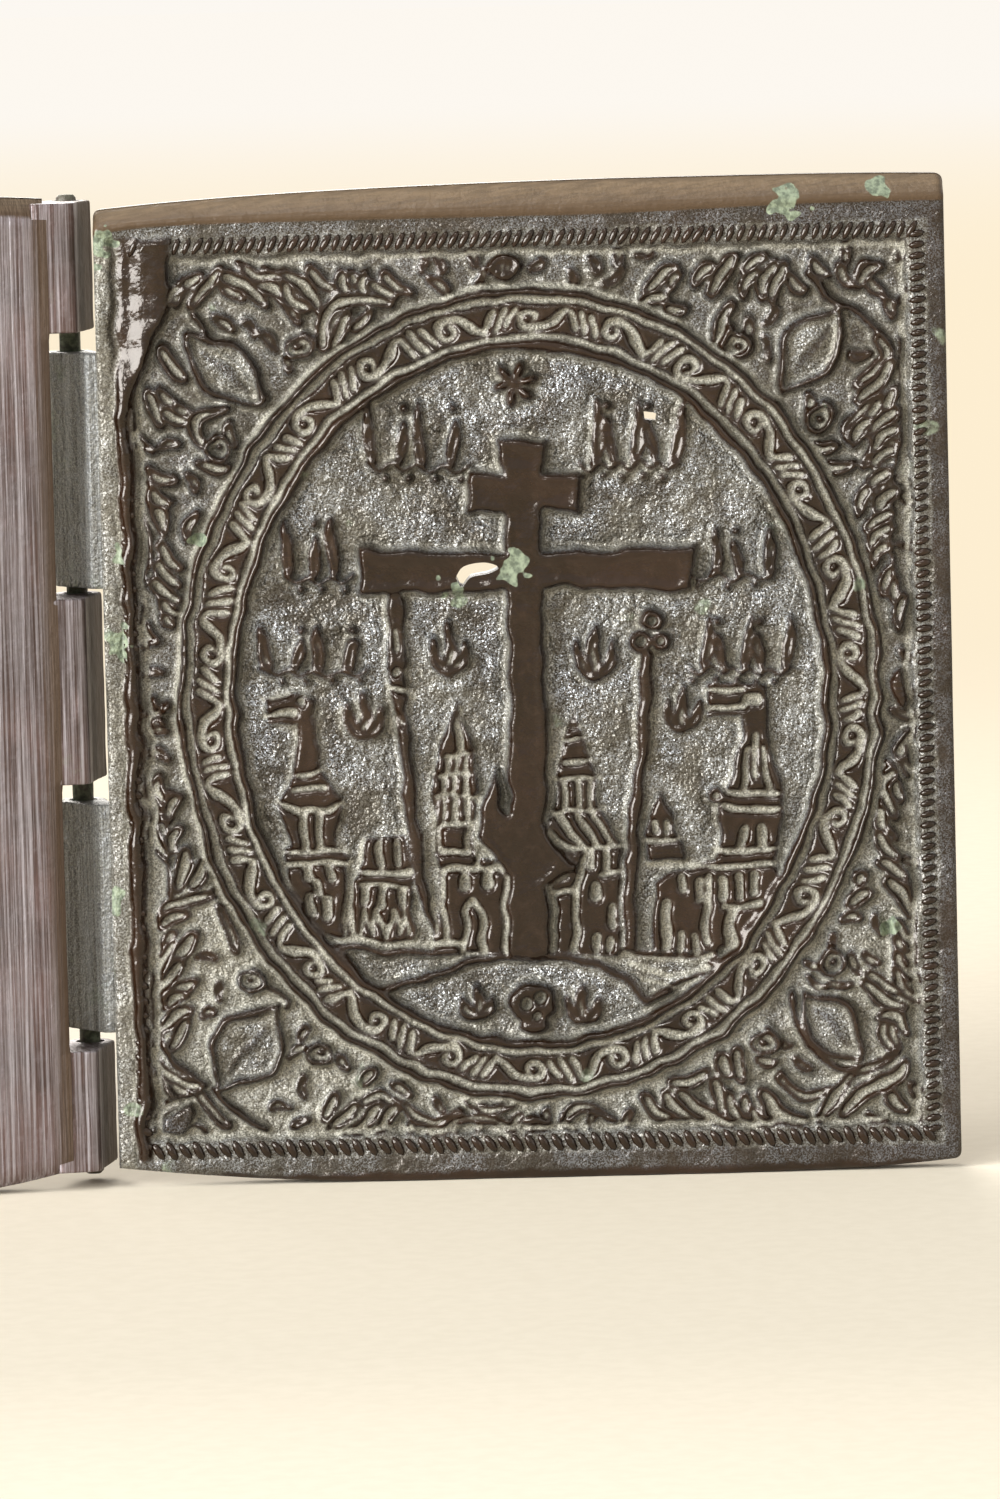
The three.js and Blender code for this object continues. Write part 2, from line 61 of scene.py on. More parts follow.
class Layer(Enum):
    """What a height field keeps for each place, beside its depth."""

    DUST = "dust"
    GRAIN = "grain"
    GREEN = "green"
    BROWN = "brown"


class Side(Enum):
    """Which way a leaf reaches from its hinge axis."""

    PLUS_X = 1
    MINUS_X = -1


def linked(name: str, data: bpy.types.ID) -> bpy.types.Object:
    """Make an object of a mesh, a light or a camera and link it to the scene."""
    made = bpy.data.objects.new(name, data)
    bpy.context.scene.collection.objects.link(made)
    return made


def smooth(share: np.ndarray) -> np.ndarray:
    """Return an eased 0 to 1 step of a share."""
    share = np.clip(share, 0.0, 1.0)
    return share * share * (3.0 - 2.0 * share)


def blurred(values: np.ndarray, sigma: float) -> np.ndarray:
    """Blur a field with a soft round brush.

    Args:
        values: The field, rows by columns.
        sigma: The brush's size in cells.

    Returns:
        The blurred field, of the same shape.
    """
    pad = int(4 * sigma) + 1
    wide = np.pad(values, pad, mode="edge")
    rows = np.fft.fftfreq(wide.shape[0])[:, None]
    columns = np.fft.rfftfreq(wide.shape[1])[None, :]
    window = np.exp(-2.0 * (math.pi * sigma) ** 2 * (rows**2 + columns**2))
    soft = np.fft.irfft2(np.fft.rfft2(wide) * window, s=wide.shape)
    return soft[pad:-pad, pad:-pad]


def speckle(shape: tuple[int, int], sigma: float, seed: int) -> np.ndarray:
    """Return seeded soft noise of unit spread, with spots of the given size in cells."""
    noise = blurred(np.random.default_rng(seed).standard_normal(shape), sigma)
    return (noise - noise.mean()) / noise.std()


def curve_points(points: Sequence[Point], steps: int = 6) -> list[Point]:
    """Round a line of points off into a smooth one.

    Args:
        points: The places that the line passes.
        steps: How many steps to make between two of them.

    Returns:
        The places along the smooth line.
    """
    if len(points) < 3:
        return list(points)
    p = np.array([points[0], *points, points[-1]], float)
    made = []
    for i in range(1, len(p) - 2):
        for t in np.linspace(0, 1, steps, endpoint=False):
            made.append(
                0.5
                * (
                    2 * p[i]
                    + (p[i + 1] - p[i - 1]) * t
                    + (2 * p[i - 1] - 5 * p[i] + 4 * p[i + 1] - p[i + 2]) * t**2
                    + (3 * p[i] - p[i - 1] - 3 * p[i + 1] + p[i + 2]) * t**3
                )
            )
    made.append(p[-1])
    return [(float(x), float(y)) for x, y in made]


@dataclass(frozen=True)
class HingeFrame:
    """A hinge axis and what is drawn round it, in millimetres."""

    axis: Point
    side: Side
    turn: float = 0.0

    def place(self, x: np.ndarray, y: np.ndarray, z: np.ndarray) -> np.ndarray:
        """Turn places drawn round the axis into places in the room, in metres."""
        across = self.side.value * np.asarray(x, float)
        c, s = math.cos(self.turn), math.sin(self.turn)
        return (
            np.stack(
                [
                    self.axis[0] + c * across - s * y,
                    self.axis[1] + s * across + c * y,
                    np.broadcast_to(z, across.shape),
                ],
                axis=-1,
            )
            * MM
        )

    @property
    def flips(self) -> bool:
        """Whether this frame mirrors what is drawn in it."""
        return self.side is Side.MINUS_X


@dataclass(frozen=True)
class LeafFrame:
    """A leaf's own places: across it from its hinge side, up it, and down from its back."""

    hinge: HingeFrame
    setback: float
    back: float
    width: float
    height: float
    thickness: float

    def place(self, a: np.ndarray, b: np.ndarray, d: np.ndarray) -> np.ndarray:
        """Turn places on the leaf into places in the room, in metres."""
        return self.hinge.place(np.asarray(a) + self.setback, self.back + np.asarray(d), b)

    def spot(self, a: float, b: float, d: float) -> np.ndarray:
        """Return where in the room one place on the leaf lies, in metres."""
        return self.place(np.array(a), np.array(b), np.array(d))

    def matrix(self) -> Matrix:
        """Return the matrix from leaf places in metres, depth along Z, to the room."""
        origin = self.spot(0.0, 0.0, 0.0)
        ends = [self.spot(*p) - origin for p in ((1.0, 0.0, 0.0), (0.0, 1.0, 0.0), (0.0, 0.0, 1.0))]
        rows = [[float(e[i]) / MM for e in ends] + [float(origin[i])] for i in range(3)]
        return Matrix([*rows, [0.0, 0.0, 0.0, 1.0]])


@dataclass(frozen=True)
class Outline:
    """The worn outline of a leaf: where its bottom and top edges run, and how deep they are bevelled."""

    bottom_line: tuple[Point, ...]
    top_line: tuple[Point, ...]
    top_bevel: float = 1.5
    bottom_bevel: float = 0.5

    def bottom(self, a: np.ndarray) -> np.ndarray:
        """Return the height of the bottom edge at places across the leaf."""
        return np.interp(a, *zip(*self.bottom_line))

    def top(self, a: np.ndarray) -> np.ndarray:
        """Return the height of the top edge at places across the leaf."""
        return np.interp(a, *zip(*self.top_line))

    def bevels(self, a: np.ndarray, b: np.ndarray, into: np.ndarray) -> np.ndarray:
        """Return how deep the bevels cut at places on the leaf.

        Args:
            a: How far across the leaf the places lie.
            b: How far up the leaf they lie.
            into: How far up the top bevel they lie, from 0 at its foot to 1 at the edge.

        Returns:
            The depths, 0 away from both edges.
        """
        low = (self.bottom(a) + self.bottom_bevel - b) / self.bottom_bevel
        return np.maximum(self.top_bevel * np.clip(into, 0, 1), self.bottom_bevel * np.clip(low, 0, 1))


def bend(start: Point, pull: Point, end: Point, steps: int = 14) -> list[Point]:
    """Return places along a curve with one pulling point."""
    t = np.linspace(0, 1, steps)[:, None]
    made = (1 - t) ** 2 * np.array(start) + 2 * t * (1 - t) * np.array(pull) + t * t * np.array(end)
    return [(float(x), float(y)) for x, y in made]


def wing_outline(width: float, height: float, top_wear: float, bottom_wear: float) -> Outline:
    """Draw the outline of a leaf that has one hinge.

    Args:
        width: The leaf's width.
        height: The leaf's height.
        top_wear: How much is worn off the top corner at the hinge.
        bottom_wear: How much is worn off the bottom corner at the hinge.

    Returns:
        The outline.
    """
    shoulder, corner, free_top, free_bottom = 0.1 * width, 0.6, 0.15, 0.6
    bottom = bend((0, bottom_wear), (2 * shoulder, 0), (0.35 * width, 0))
    bottom += bend((0.7 * width, 0), (width - shoulder, 0), (width - corner, free_bottom))
    bottom += bend((width - corner, free_bottom), (width, free_bottom), (width, free_bottom + corner))
    top = bend((0, height - top_wear - corner), (0, height - top_wear), (corner, height - top_wear))
    top += bend((corner, height - top_wear), (2 * shoulder, height - 0.17 * top_wear), (0.6 * width, height))
    top += bend((0.8 * width, height), (width - shoulder, height), (width - corner, height - free_top))
    top += bend(
        (width - corner, height - free_top), (width, height - free_top), (width, height - free_top - corner)
    )
    return Outline(tuple(bottom), tuple(top))


def centre_outline(width: float, height: float, top_wear: float, bottom_wear: float) -> Outline:
    """Draw the outline of a leaf that has a hinge on both sides, worn alike on both."""
    shoulder = 0.1 * width
    bottom = bend((0, bottom_wear), (shoulder, 0), (2 * shoulder, 0))
    bottom += bend((width - 2 * shoulder, 0), (width - shoulder, 0), (width, bottom_wear))
    top = bend((0, height - top_wear), (shoulder, height), (2 * shoulder, height))
    top += bend((width - 2 * shoulder, height), (width - shoulder, height), (width, height - top_wear))
    return Outline(tuple(bottom), tuple(top))


@dataclass(frozen=True)
class PhotoPlace:
    """Turns a place seen in the photograph into a place on the cover leaf's back."""

    top_left: Point = (119, 246)
    top_right: Point = (916, 229)
    bottom_right: Point = (932, 1132)
    bottom_left: Point = (140, 1157)
    low: Point = (1.5, 2.2)
    high: Point = (53.2, 61.6)
    pixels_per_mm: float = 15.4

    def leaf(self, x: float, y: float) -> Point:
        """Return how far across and up the leaf a seen place lies, in millimetres."""
        s = t = 0.5
        tl, tr, br, bl = (
            np.array(p, float) for p in (self.top_left, self.top_right, self.bottom_right, self.bottom_left)
        )
        for _ in range(8):
            top, bottom = tl + (tr - tl) * s, bl + (br - bl) * s
            at = top + (bottom - top) * t
            s += (x - at[0]) / (tr[0] - tl[0])
            t += (y - at[1]) / (bl[1] - tl[1])
        return (
            self.low[0] + s * (self.high[0] - self.low[0]),
            self.high[1] - t * (self.high[1] - self.low[1]),
        )

    def line(self, points: Iterable[Point]) -> list[Point]:
        """Return the leaf places of a line of seen places."""
        return [self.leaf(x, y) for x, y in points]


@dataclass(frozen=True)
class CloseLook:
    """A part of the photograph, enlarged, whose places are read in the enlargement."""

    photo: PhotoPlace
    corner: Point
    zoom: float

    def line(self, points: Iterable[Point]) -> list[Point]:
        """Return the leaf places of a line read in the enlargement."""
        return self.photo.line((self.corner[0] + x / self.zoom, self.corner[1] + y / self.zoom) for x, y in points)


class ReliefCanvas:
    """A height field over one face of a leaf, cut and raised by strokes and outlines.

    Depth is counted in millimetres down from the face's highest plane.
    """

    margin = 1.0

    def __init__(self, width: float, height: float, step: float, start: float) -> None:
        """Lay the field out flat at the start depth."""
        self.step = step
        self.columns = int((width + 2 * self.margin) / step) + 2
        self.rows = int((height + 2 * self.margin) / step) + 2
        self.depth = np.full((self.rows, self.columns), start)
        self.layers = {layer: np.zeros((self.rows, self.columns)) for layer in Layer}

    @property
    def across(self) -> np.ndarray:
        """The places across the leaf of the field's columns."""
        return (np.arange(self.columns) * self.step - self.margin)[None, :]

    @property
    def up(self) -> np.ndarray:
        """The places up the leaf of the field's rows."""
        return (np.arange(self.rows) * self.step - self.margin)[:, None]

    def window(self, points: Sequence[Point], reach: float) -> tuple[tuple[slice, slice], np.ndarray, np.ndarray]:
        """Return the part of the field near some places, and its places across and up."""
        p = np.asarray(points, float)
        low = np.floor((p.min(0) - reach + self.margin) / self.step).astype(int)
        high = np.ceil((p.max(0) + reach + self.margin) / self.step).astype(int) + 1
        low, high = np.maximum(low, 0), np.minimum(high, (self.columns, self.rows))
        part = (slice(low[1], high[1]), slice(low[0], high[0]))
        return part, self.across[:, part[1]], self.up[part[0], :]

    @staticmethod
    def line_gap(a: np.ndarray, b: np.ndarray, points: Sequence[Point], halves: Sequence[float]) -> np.ndarray:
        """Return how far places lie outside a line of changing half width, negative inside."""
        best = np.full(np.broadcast(a, b).shape, 1e3)
        for (px, py), (qx, qy), hp, hq in zip(points, points[1:], halves, halves[1:]):
            dx, dy = qx - px, qy - py
            size = max(dx * dx + dy * dy, 1e-9)
            t = np.clip(((a - px) * dx + (b - py) * dy) / size, 0, 1)
            gap = np.hypot(a - px - t * dx, b - py - t * dy) - (hp + t * (hq - hp))
            np.minimum(best, gap, out=best)
        return best

    @classmethod
    def area_gap(cls, a: np.ndarray, b: np.ndarray, points: Sequence[Point]) -> np.ndarray:
        """Return how far places lie outside a closed outline, negative inside."""
        closed = [*points, points[0]]
        gap = cls.line_gap(a, b, closed, [0.0] * len(closed))
        inside = np.zeros(gap.shape, bool)
        for (px, py), (qx, qy) in zip(closed, closed[1:]):
            if py != qy:
                inside ^= ((py > b) != (qy > b)) & (a < (qx - px) * (b - py) / (qy - py) + px)
        return np.where(inside, -gap, gap)

    def shape(
        self,
        part: tuple[slice, slice],
        gap: np.ndarray,
        depth: float | np.ndarray,
        soft: float,
        raising: bool,
        **layers: float,
    ) -> None:
        """Bring a part of the field to a depth wherever the gap is negative."""
        share = smooth(-gap / soft + 0.5)
        now = self.depth[part]
        wanted = now + (depth - now) * share
        self.depth[part] = np.minimum(now, wanted) if raising else np.maximum(now, wanted)
        for name, value in layers.items():
            layer = self.layers[Layer(name)]
            layer[part] += (value - layer[part]) * share

    def settle(self, share: np.ndarray, depth: float | np.ndarray, **layers: float | np.ndarray) -> None:
        """Bring the whole field to a depth and to layer values by a share.

        Args:
            share: How far each place goes there, 0 to 1.
            depth: The depth there.
            layers: What the layers become there.
        """
        self.depth += (depth - self.depth) * share
        for name, value in layers.items():
            layer = self.layers[Layer(name)]
            layer += (value - layer) * share

    def stroke(
        self,
        points: Sequence[Point],
        width: float | Sequence[float],
        depth: float,
        soft: float = 0.14,
        raising: bool = False,
        **layers: float,
    ) -> None:
        """Cut or raise a line.

        Args:
            points: The places that it follows.
            width: Its width, or its width at each place.
            depth: Its depth below the highest plane.
            soft: How wide its shoulders are.
            raising: Whether it is raised and not cut.
            layers: What the layers become on it.
        """
        widths = [width] * len(points) if isinstance(width, (int, float)) else list(width)
        halves = [w / 2 for w in widths]
        part, a, b = self.window(points, max(halves) + soft)
        self.shape(part, self.line_gap(a, b, points, halves), depth, soft, raising, **layers)

    def ridge(self, points: Sequence[Point], width: float | Sequence[float], depth: float, soft: float) -> None:
        """Raise a line of clean metal."""
        self.stroke(points, width, depth, soft, True, **CLEAN)

    def groove(
        self, points: Sequence[Point], width: float | Sequence[float], depth: float, soft: float, dust: float = 1.0
    ) -> None:
        """Cut a line in which dust lies."""
        self.stroke(points, width, depth, soft, dust=dust)

    def area(
        self, points: Sequence[Point], depth: float, soft: float = 0.2, raising: bool = True, **layers: float
    ) -> None:
        """Cut or raise everything inside an outline."""
        part, a, b = self.window(points, soft)
        self.shape(part, self.area_gap(a, b, points), depth, soft, raising, **layers)

    def dome(self, points: Sequence[Point], crown: float, foot: float, round_over: float, **layers: float) -> None:
        """Raise an outline that swells from its foot depth at the edge to its crown."""
        part, a, b = self.window(points, 0.2)
        gap = self.area_gap(a, b, points)
        rise = np.sqrt(1 - (1 - np.clip(-gap / round_over, 0, 1)) ** 2)
        self.shape(part, gap, foot + (crown - foot) * rise, 0.16, True, **layers)

    def oval(self, x: float, y: float, half_x: float, half_y: float, turn: float = 0.0) -> list[Point]:
        """Return the outline of an oval."""
        t = np.linspace(0, ROUND, 28, endpoint=False)
        u, v = half_x * np.cos(t), half_y * np.sin(t)
        c, s = math.cos(turn), math.sin(turn)
        return [(float(x + c * p - s * q), float(y + s * p + c * q)) for p, q in zip(u, v)]

    def knob(
        self, x: float, y: float, half_x: float, half_y: float, crown: float, foot: float, round_over: float
    ) -> None:
        """Raise an oval swelling of clean metal."""
        self.dome(self.oval(x, y, half_x, half_y), crown, foot, round_over, **CLEAN)

    def gouge(self, points: Sequence[Point], width: float, lip: float = 0.22, top: float = 0.42) -> None:
        """Draw a leaf of the carving: a pointed groove between two raised lips."""
        if len(points) == 2:
            (px, py), (qx, qy) = points
            points = [(px, py), ((px + qx) / 2 + 0.13 * (qy - py), (py + qy) / 2 - 0.13 * (qx - px)), (qx, qy)]
        line = curve_points(points)
        share = np.linspace(0, 1, len(line))
        swell = 0.16 + 0.84 * np.sin(math.pi * np.clip(share * 0.8 + 0.14, 0, 1)) ** 0.9
        self.ridge(line, [width * 1.08 * w + 2 * lip for w in swell], top, 0.16)
        self.groove(line, [width * 0.86 * w for w in swell], top + 0.48, 0.16)

    def sample(self, values: np.ndarray, a: np.ndarray, b: np.ndarray) -> np.ndarray:
        """Read a field at places across and up the leaf."""
        x = np.clip((a + self.margin) / self.step, 0, self.columns - 1.001)
        y = np.clip((b + self.margin) / self.step, 0, self.rows - 1.001)
        i, j = x.astype(int), y.astype(int)
        fx, fy = x - i, y - j
        low = values[j, i] * (1 - fx) + values[j, i + 1] * fx
        high = values[j + 1, i] * (1 - fx) + values[j + 1, i + 1] * fx
        return low * (1 - fy) + high * fy

    def depth_at(self, a: np.ndarray, b: np.ndarray) -> np.ndarray:
        """Return the depth at places across and up the leaf."""
        return self.sample(self.depth, a, b)

    def layers_at(self, a: np.ndarray, b: np.ndarray) -> dict[str, np.ndarray]:
        """Return every layer's values at places across and up the leaf."""
        return {layer.value: self.sample(values, a, b) for layer, values in self.layers.items()}


@dataclass
class MeshDraft:
    """Places, faces and attributes that become one Blender mesh."""

    places: list[np.ndarray] = field(default_factory=list)
    faces: list[tuple[np.ndarray, bool]] = field(default_factory=list)
    values: dict[str, list[np.ndarray]] = field(default_factory=dict)
    normals: list[np.ndarray] = field(default_factory=list)
    count: int = 0

    def add(self, places: np.ndarray, normals: np.ndarray | None = None, **values: np.ndarray) -> int:
        """Add places in metres with their attribute values, and return the first one's number."""
        first = self.count
        flat = places.reshape(-1, 3)
        for layer in Layer:
            value = values.get(layer.value, 0.0)
            spread = np.broadcast_to(np.asarray(value, float).ravel(), (len(flat),))
            self.values.setdefault(layer.value, []).append(spread)
        self.places.append(flat)
        self.normals.append(np.zeros_like(flat) if normals is None else normals.reshape(-1, 3))
        self.count += len(flat)
        return first

    def face(self, corners: np.ndarray, is_smooth: bool = True) -> None:
        """Add faces, each a row of place numbers."""
        self.faces.append((np.asarray(corners, int), is_smooth))

    def build(self, name: str, flips: bool, material: bpy.types.Material) -> bpy.types.Object:
        """Make the object.

        Args:
            name: The object's name.
            flips: Whether the faces are turned over.
            material: The finish that it wears.

        Returns:
            The object, linked to the scene.
        """
        places = np.concatenate(self.places)
        rows = [(f[:, ::-1] if flips else f, is_smooth) for f, is_smooth in self.faces if len(f)]
        corners = np.concatenate([f.ravel() for f, _ in rows])
        sizes = np.concatenate([np.full(len(f), f.shape[1]) for f, _ in rows])
        soft = np.concatenate([np.full(len(f), is_smooth) for f, is_smooth in rows])
        mesh = bpy.data.meshes.new(name)
        mesh.vertices.add(len(places))
        mesh.vertices.foreach_set("co", places.astype(np.float32).ravel())
        mesh.loops.add(len(corners))
        mesh.loops.foreach_set("vertex_index", corners.astype(np.int32))
        mesh.polygons.add(len(sizes))
        starts = np.concatenate([[0], np.cumsum(sizes)[:-1]])
        mesh.polygons.foreach_set("loop_start", starts.astype(np.int32))
        mesh.polygons.foreach_set("use_smooth", soft)
        mesh.update(calc_edges=True)
        for key, parts in self.values.items():
            attribute = mesh.attributes.new(key, "FLOAT", "POINT")
            attribute.data.foreach_set("value", np.concatenate(parts).astype(np.float32))
        mesh.materials.append(material)
        normals = np.concatenate(self.normals)
        if normals.any():
            wanted = normals[corners] * np.repeat(soft, sizes)[:, None]
            mesh.normals_split_custom_set(wanted.tolist())
        return linked(name, mesh)


def grid_faces(first: int, rows: int, columns: int, wraps: bool = False) -> np.ndarray:
    """Return the four-cornered faces of a grid of places, by rows.

    Args:
        first: The number of the grid's first place.
        rows: How many rows it has.
        columns: How many places each row has.
        wraps: Whether each row's last place joins its first.

    Returns:
        One row of place numbers for each face.
    """
    i, j = np.meshgrid(np.arange(rows - 1), np.arange(columns if wraps else columns - 1), indexing="ij")
    k = (j + 1) % columns
    corners = np.stack([i * columns + j, i * columns + k, (i + 1) * columns + k, (i + 1) * columns + j], -1)
    return corners.reshape(-1, 4) + first


def graded(low: float, high: float, step: float, start_edge: bool = True, end_edge: bool = True) -> np.ndarray:
    """Return evenly spread places with closer ones next to a rounded edge."""
    edge = np.array([0.0, 0.03, 0.08, 0.16, 0.26])
    first, last = (low + 0.38 if start_edge else low), (high - 0.38 if end_edge else high)
    middle = np.linspace(first, last, max(2, int(round((last - first) / step)) + 1))
    parts = [low + edge] if start_edge else []
    parts.append(middle)
    if end_edge:
        parts.append(high - edge[::-1])
    return np.concatenate(parts)


def boundary_loops(faces: np.ndarray) -> list[np.ndarray]:
    """Return the closed rows of places round the rim and the holes of a sheet of faces."""
    starts = faces.ravel()
    ends = np.roll(faces, -1, axis=1).ravel()
    size = int(max(starts.max(), ends.max())) + 1
    keys, reverse = starts * size + ends, ends * size + starts
    open_edges = ~np.isin(keys, reverse)
    following = dict(zip(starts[open_edges].tolist(), ends[open_edges].tolist()))
    loops = []
    while following:
        at, after = following.popitem()
        loop = [at]
        while after != loop[0]:
            loop.append(after)
            after = following.pop(after)
        loops.append(np.array(loop))
    return loops


@dataclass
class LeafShell:
    """Half of a leaf's thickness as a closed shell: a carved face, its sides and a flat cap."""

    frame: LeafFrame
    outline: Outline
    split: float
    rounding: float = 0.32
    hole_reach: float = 6.0

    def edge_drop(self, a: np.ndarray, b: np.ndarray, keep: SideRule | None) -> np.ndarray:
        """Return how much a rounded edge takes off the face near the outline."""
        sides = np.minimum(a, self.frame.width - a)
        ends = np.minimum(b - self.outline.bottom(a), self.outline.top(a) - b)
        if keep is not None:
            sides = np.maximum(sides, keep(b))
        r = self.rounding
        near = np.clip(r - np.minimum(sides, ends), 0, r)
        return r - np.sqrt(np.maximum(r * r - near * near, 0))

    def build(
        self,
        draft: MeshDraft,
        step: float,
        face_depth: DepthField,
        layers: LayerField,
        is_front: bool,
        span: tuple[float, float] | None = None,
        holes: Sequence[Sequence[Point]] = (),
        keep: SideRule | None = None,
    ) -> None:
        """Add the shell to a draft.

        Args:
            draft: The draft that takes it.
            step: The size of the face's cells.
            face_depth: How deep the face lies below its own plane, at places across and up.
            layers: The attribute values at places across and up.
            is_front: Whether this is the front half and not the back half.
            span: The part across the leaf that it covers, or None for all.
            holes: The outlines of the openings through the leaf.
            keep: How far from a rounded side the places of a height count, or None.
        """
        left, right = span or (0.0, self.frame.width)
        a_line = graded(left, right, step, left == 0.0, right == self.frame.width)
        v_line = graded(0.0, self.frame.height, step)
        a = np.broadcast_to(a_line[None, :], (len(v_line), len(a_line))).copy()
        low, high = self.outline.bottom(a_line)[None, :], self.outline.top(a_line)[None, :]
        share = (v_line / self.frame.height)[:, None]
        b = low + share * (high - low)
        faces = grid_faces(0, len(v_line), len(a_line))
        flat_a, flat_b = a.ravel(), b.ravel()
        for hole in holes:
            middle = flat_a[faces].mean(1), flat_b[faces].mean(1)
            near = np.hypot(middle[0] - hole[0][0], middle[1] - hole[0][1]) < self.hole_reach
            gone = np.zeros(len(faces), bool)
            gap = ReliefCanvas.area_gap(middle[0][near], middle[1][near], hole)
            gone[near] = gap < 0
            removed = np.unique(faces[gone])
            faces = faces[~gone]
            rim = np.intersect1d(removed, np.unique(faces))
            closed = np.array([*hole, hole[0]])
            for k in rim:
                at = np.array([flat_a[k], flat_b[k]])
                p, q = closed[:-1], closed[1:]
                t = np.clip(((at - p) * (q - p)).sum(1) / np.maximum(((q - p) ** 2).sum(1), 1e-9), 0, 1)
                spots = p + t[:, None] * (q - p)
                flat_a[k], flat_b[k] = spots[np.argmin(((spots - at) ** 2).sum(1))]
        used, compact = np.unique(faces, return_inverse=True)
        faces = compact.reshape(faces.shape)
        flat_a, flat_b = flat_a[used], flat_b[used]

        def down(a: np.ndarray, b: np.ndarray) -> np.ndarray:
            """Return how deep the rounded face lies at places on the leaf."""
            return face_depth(a, b) + self.edge_drop(a, b, keep)

        depth = down(flat_a, flat_b)
        depth = self.frame.thickness - depth if is_front else depth
        reach = 1.4 * step
        slope_a = (down(flat_a + reach, flat_b) - down(flat_a - reach, flat_b)) / (2 * reach)
        slope_b = (down(flat_a, flat_b + reach) - down(flat_a, flat_b - reach)) / (2 * reach)
        outward = np.ones_like(slope_a) if is_front else -np.ones_like(slope_a)
        normals = self.frame.place(slope_a, slope_b, outward) - self.frame.place(*np.zeros((3, len(slope_a))))
        normals /= np.linalg.norm(normals, axis=1)[:, None]
        first = draft.add(self.frame.place(flat_a, flat_b, depth), normals, **layers(flat_a, flat_b))
        sheet = faces[:, ::-1] if is_front else faces
        draft.face(sheet + first)
        loops = boundary_loops(sheet)
        rims = []
        for loop in loops:
            around = self.frame.place(flat_a[loop], flat_b[loop], np.full(len(loop), self.split))
            start = draft.add(around, **{k: v[loop] for k, v in layers(flat_a, flat_b).items()})
            n = len(loop)
            k = np.arange(n)
            after = (k + 1) % n
            draft.face(np.stack([loop[after] + first, loop + first, k + start, after + start], -1), False)
            rims.append((start, [Vector((flat_a[i], flat_b[i], 0.0)) for i in loop]))
        numbers = np.concatenate([np.arange(len(points)) + start for start, points in rims])
        cap = np.array(tessellate_polygon([points for _, points in rims]))
        corners = [p for _, points in rims for p in points]
        area = sum((corners[t[1]] - corners[t[0]]).cross(corners[t[2]] - corners[t[0]]).z for t in cap[:400])
        turned = (area > 0) != is_front
        cap = numbers[cap[:, ::-1] if turned else cap]
        draft.face(cap, False)


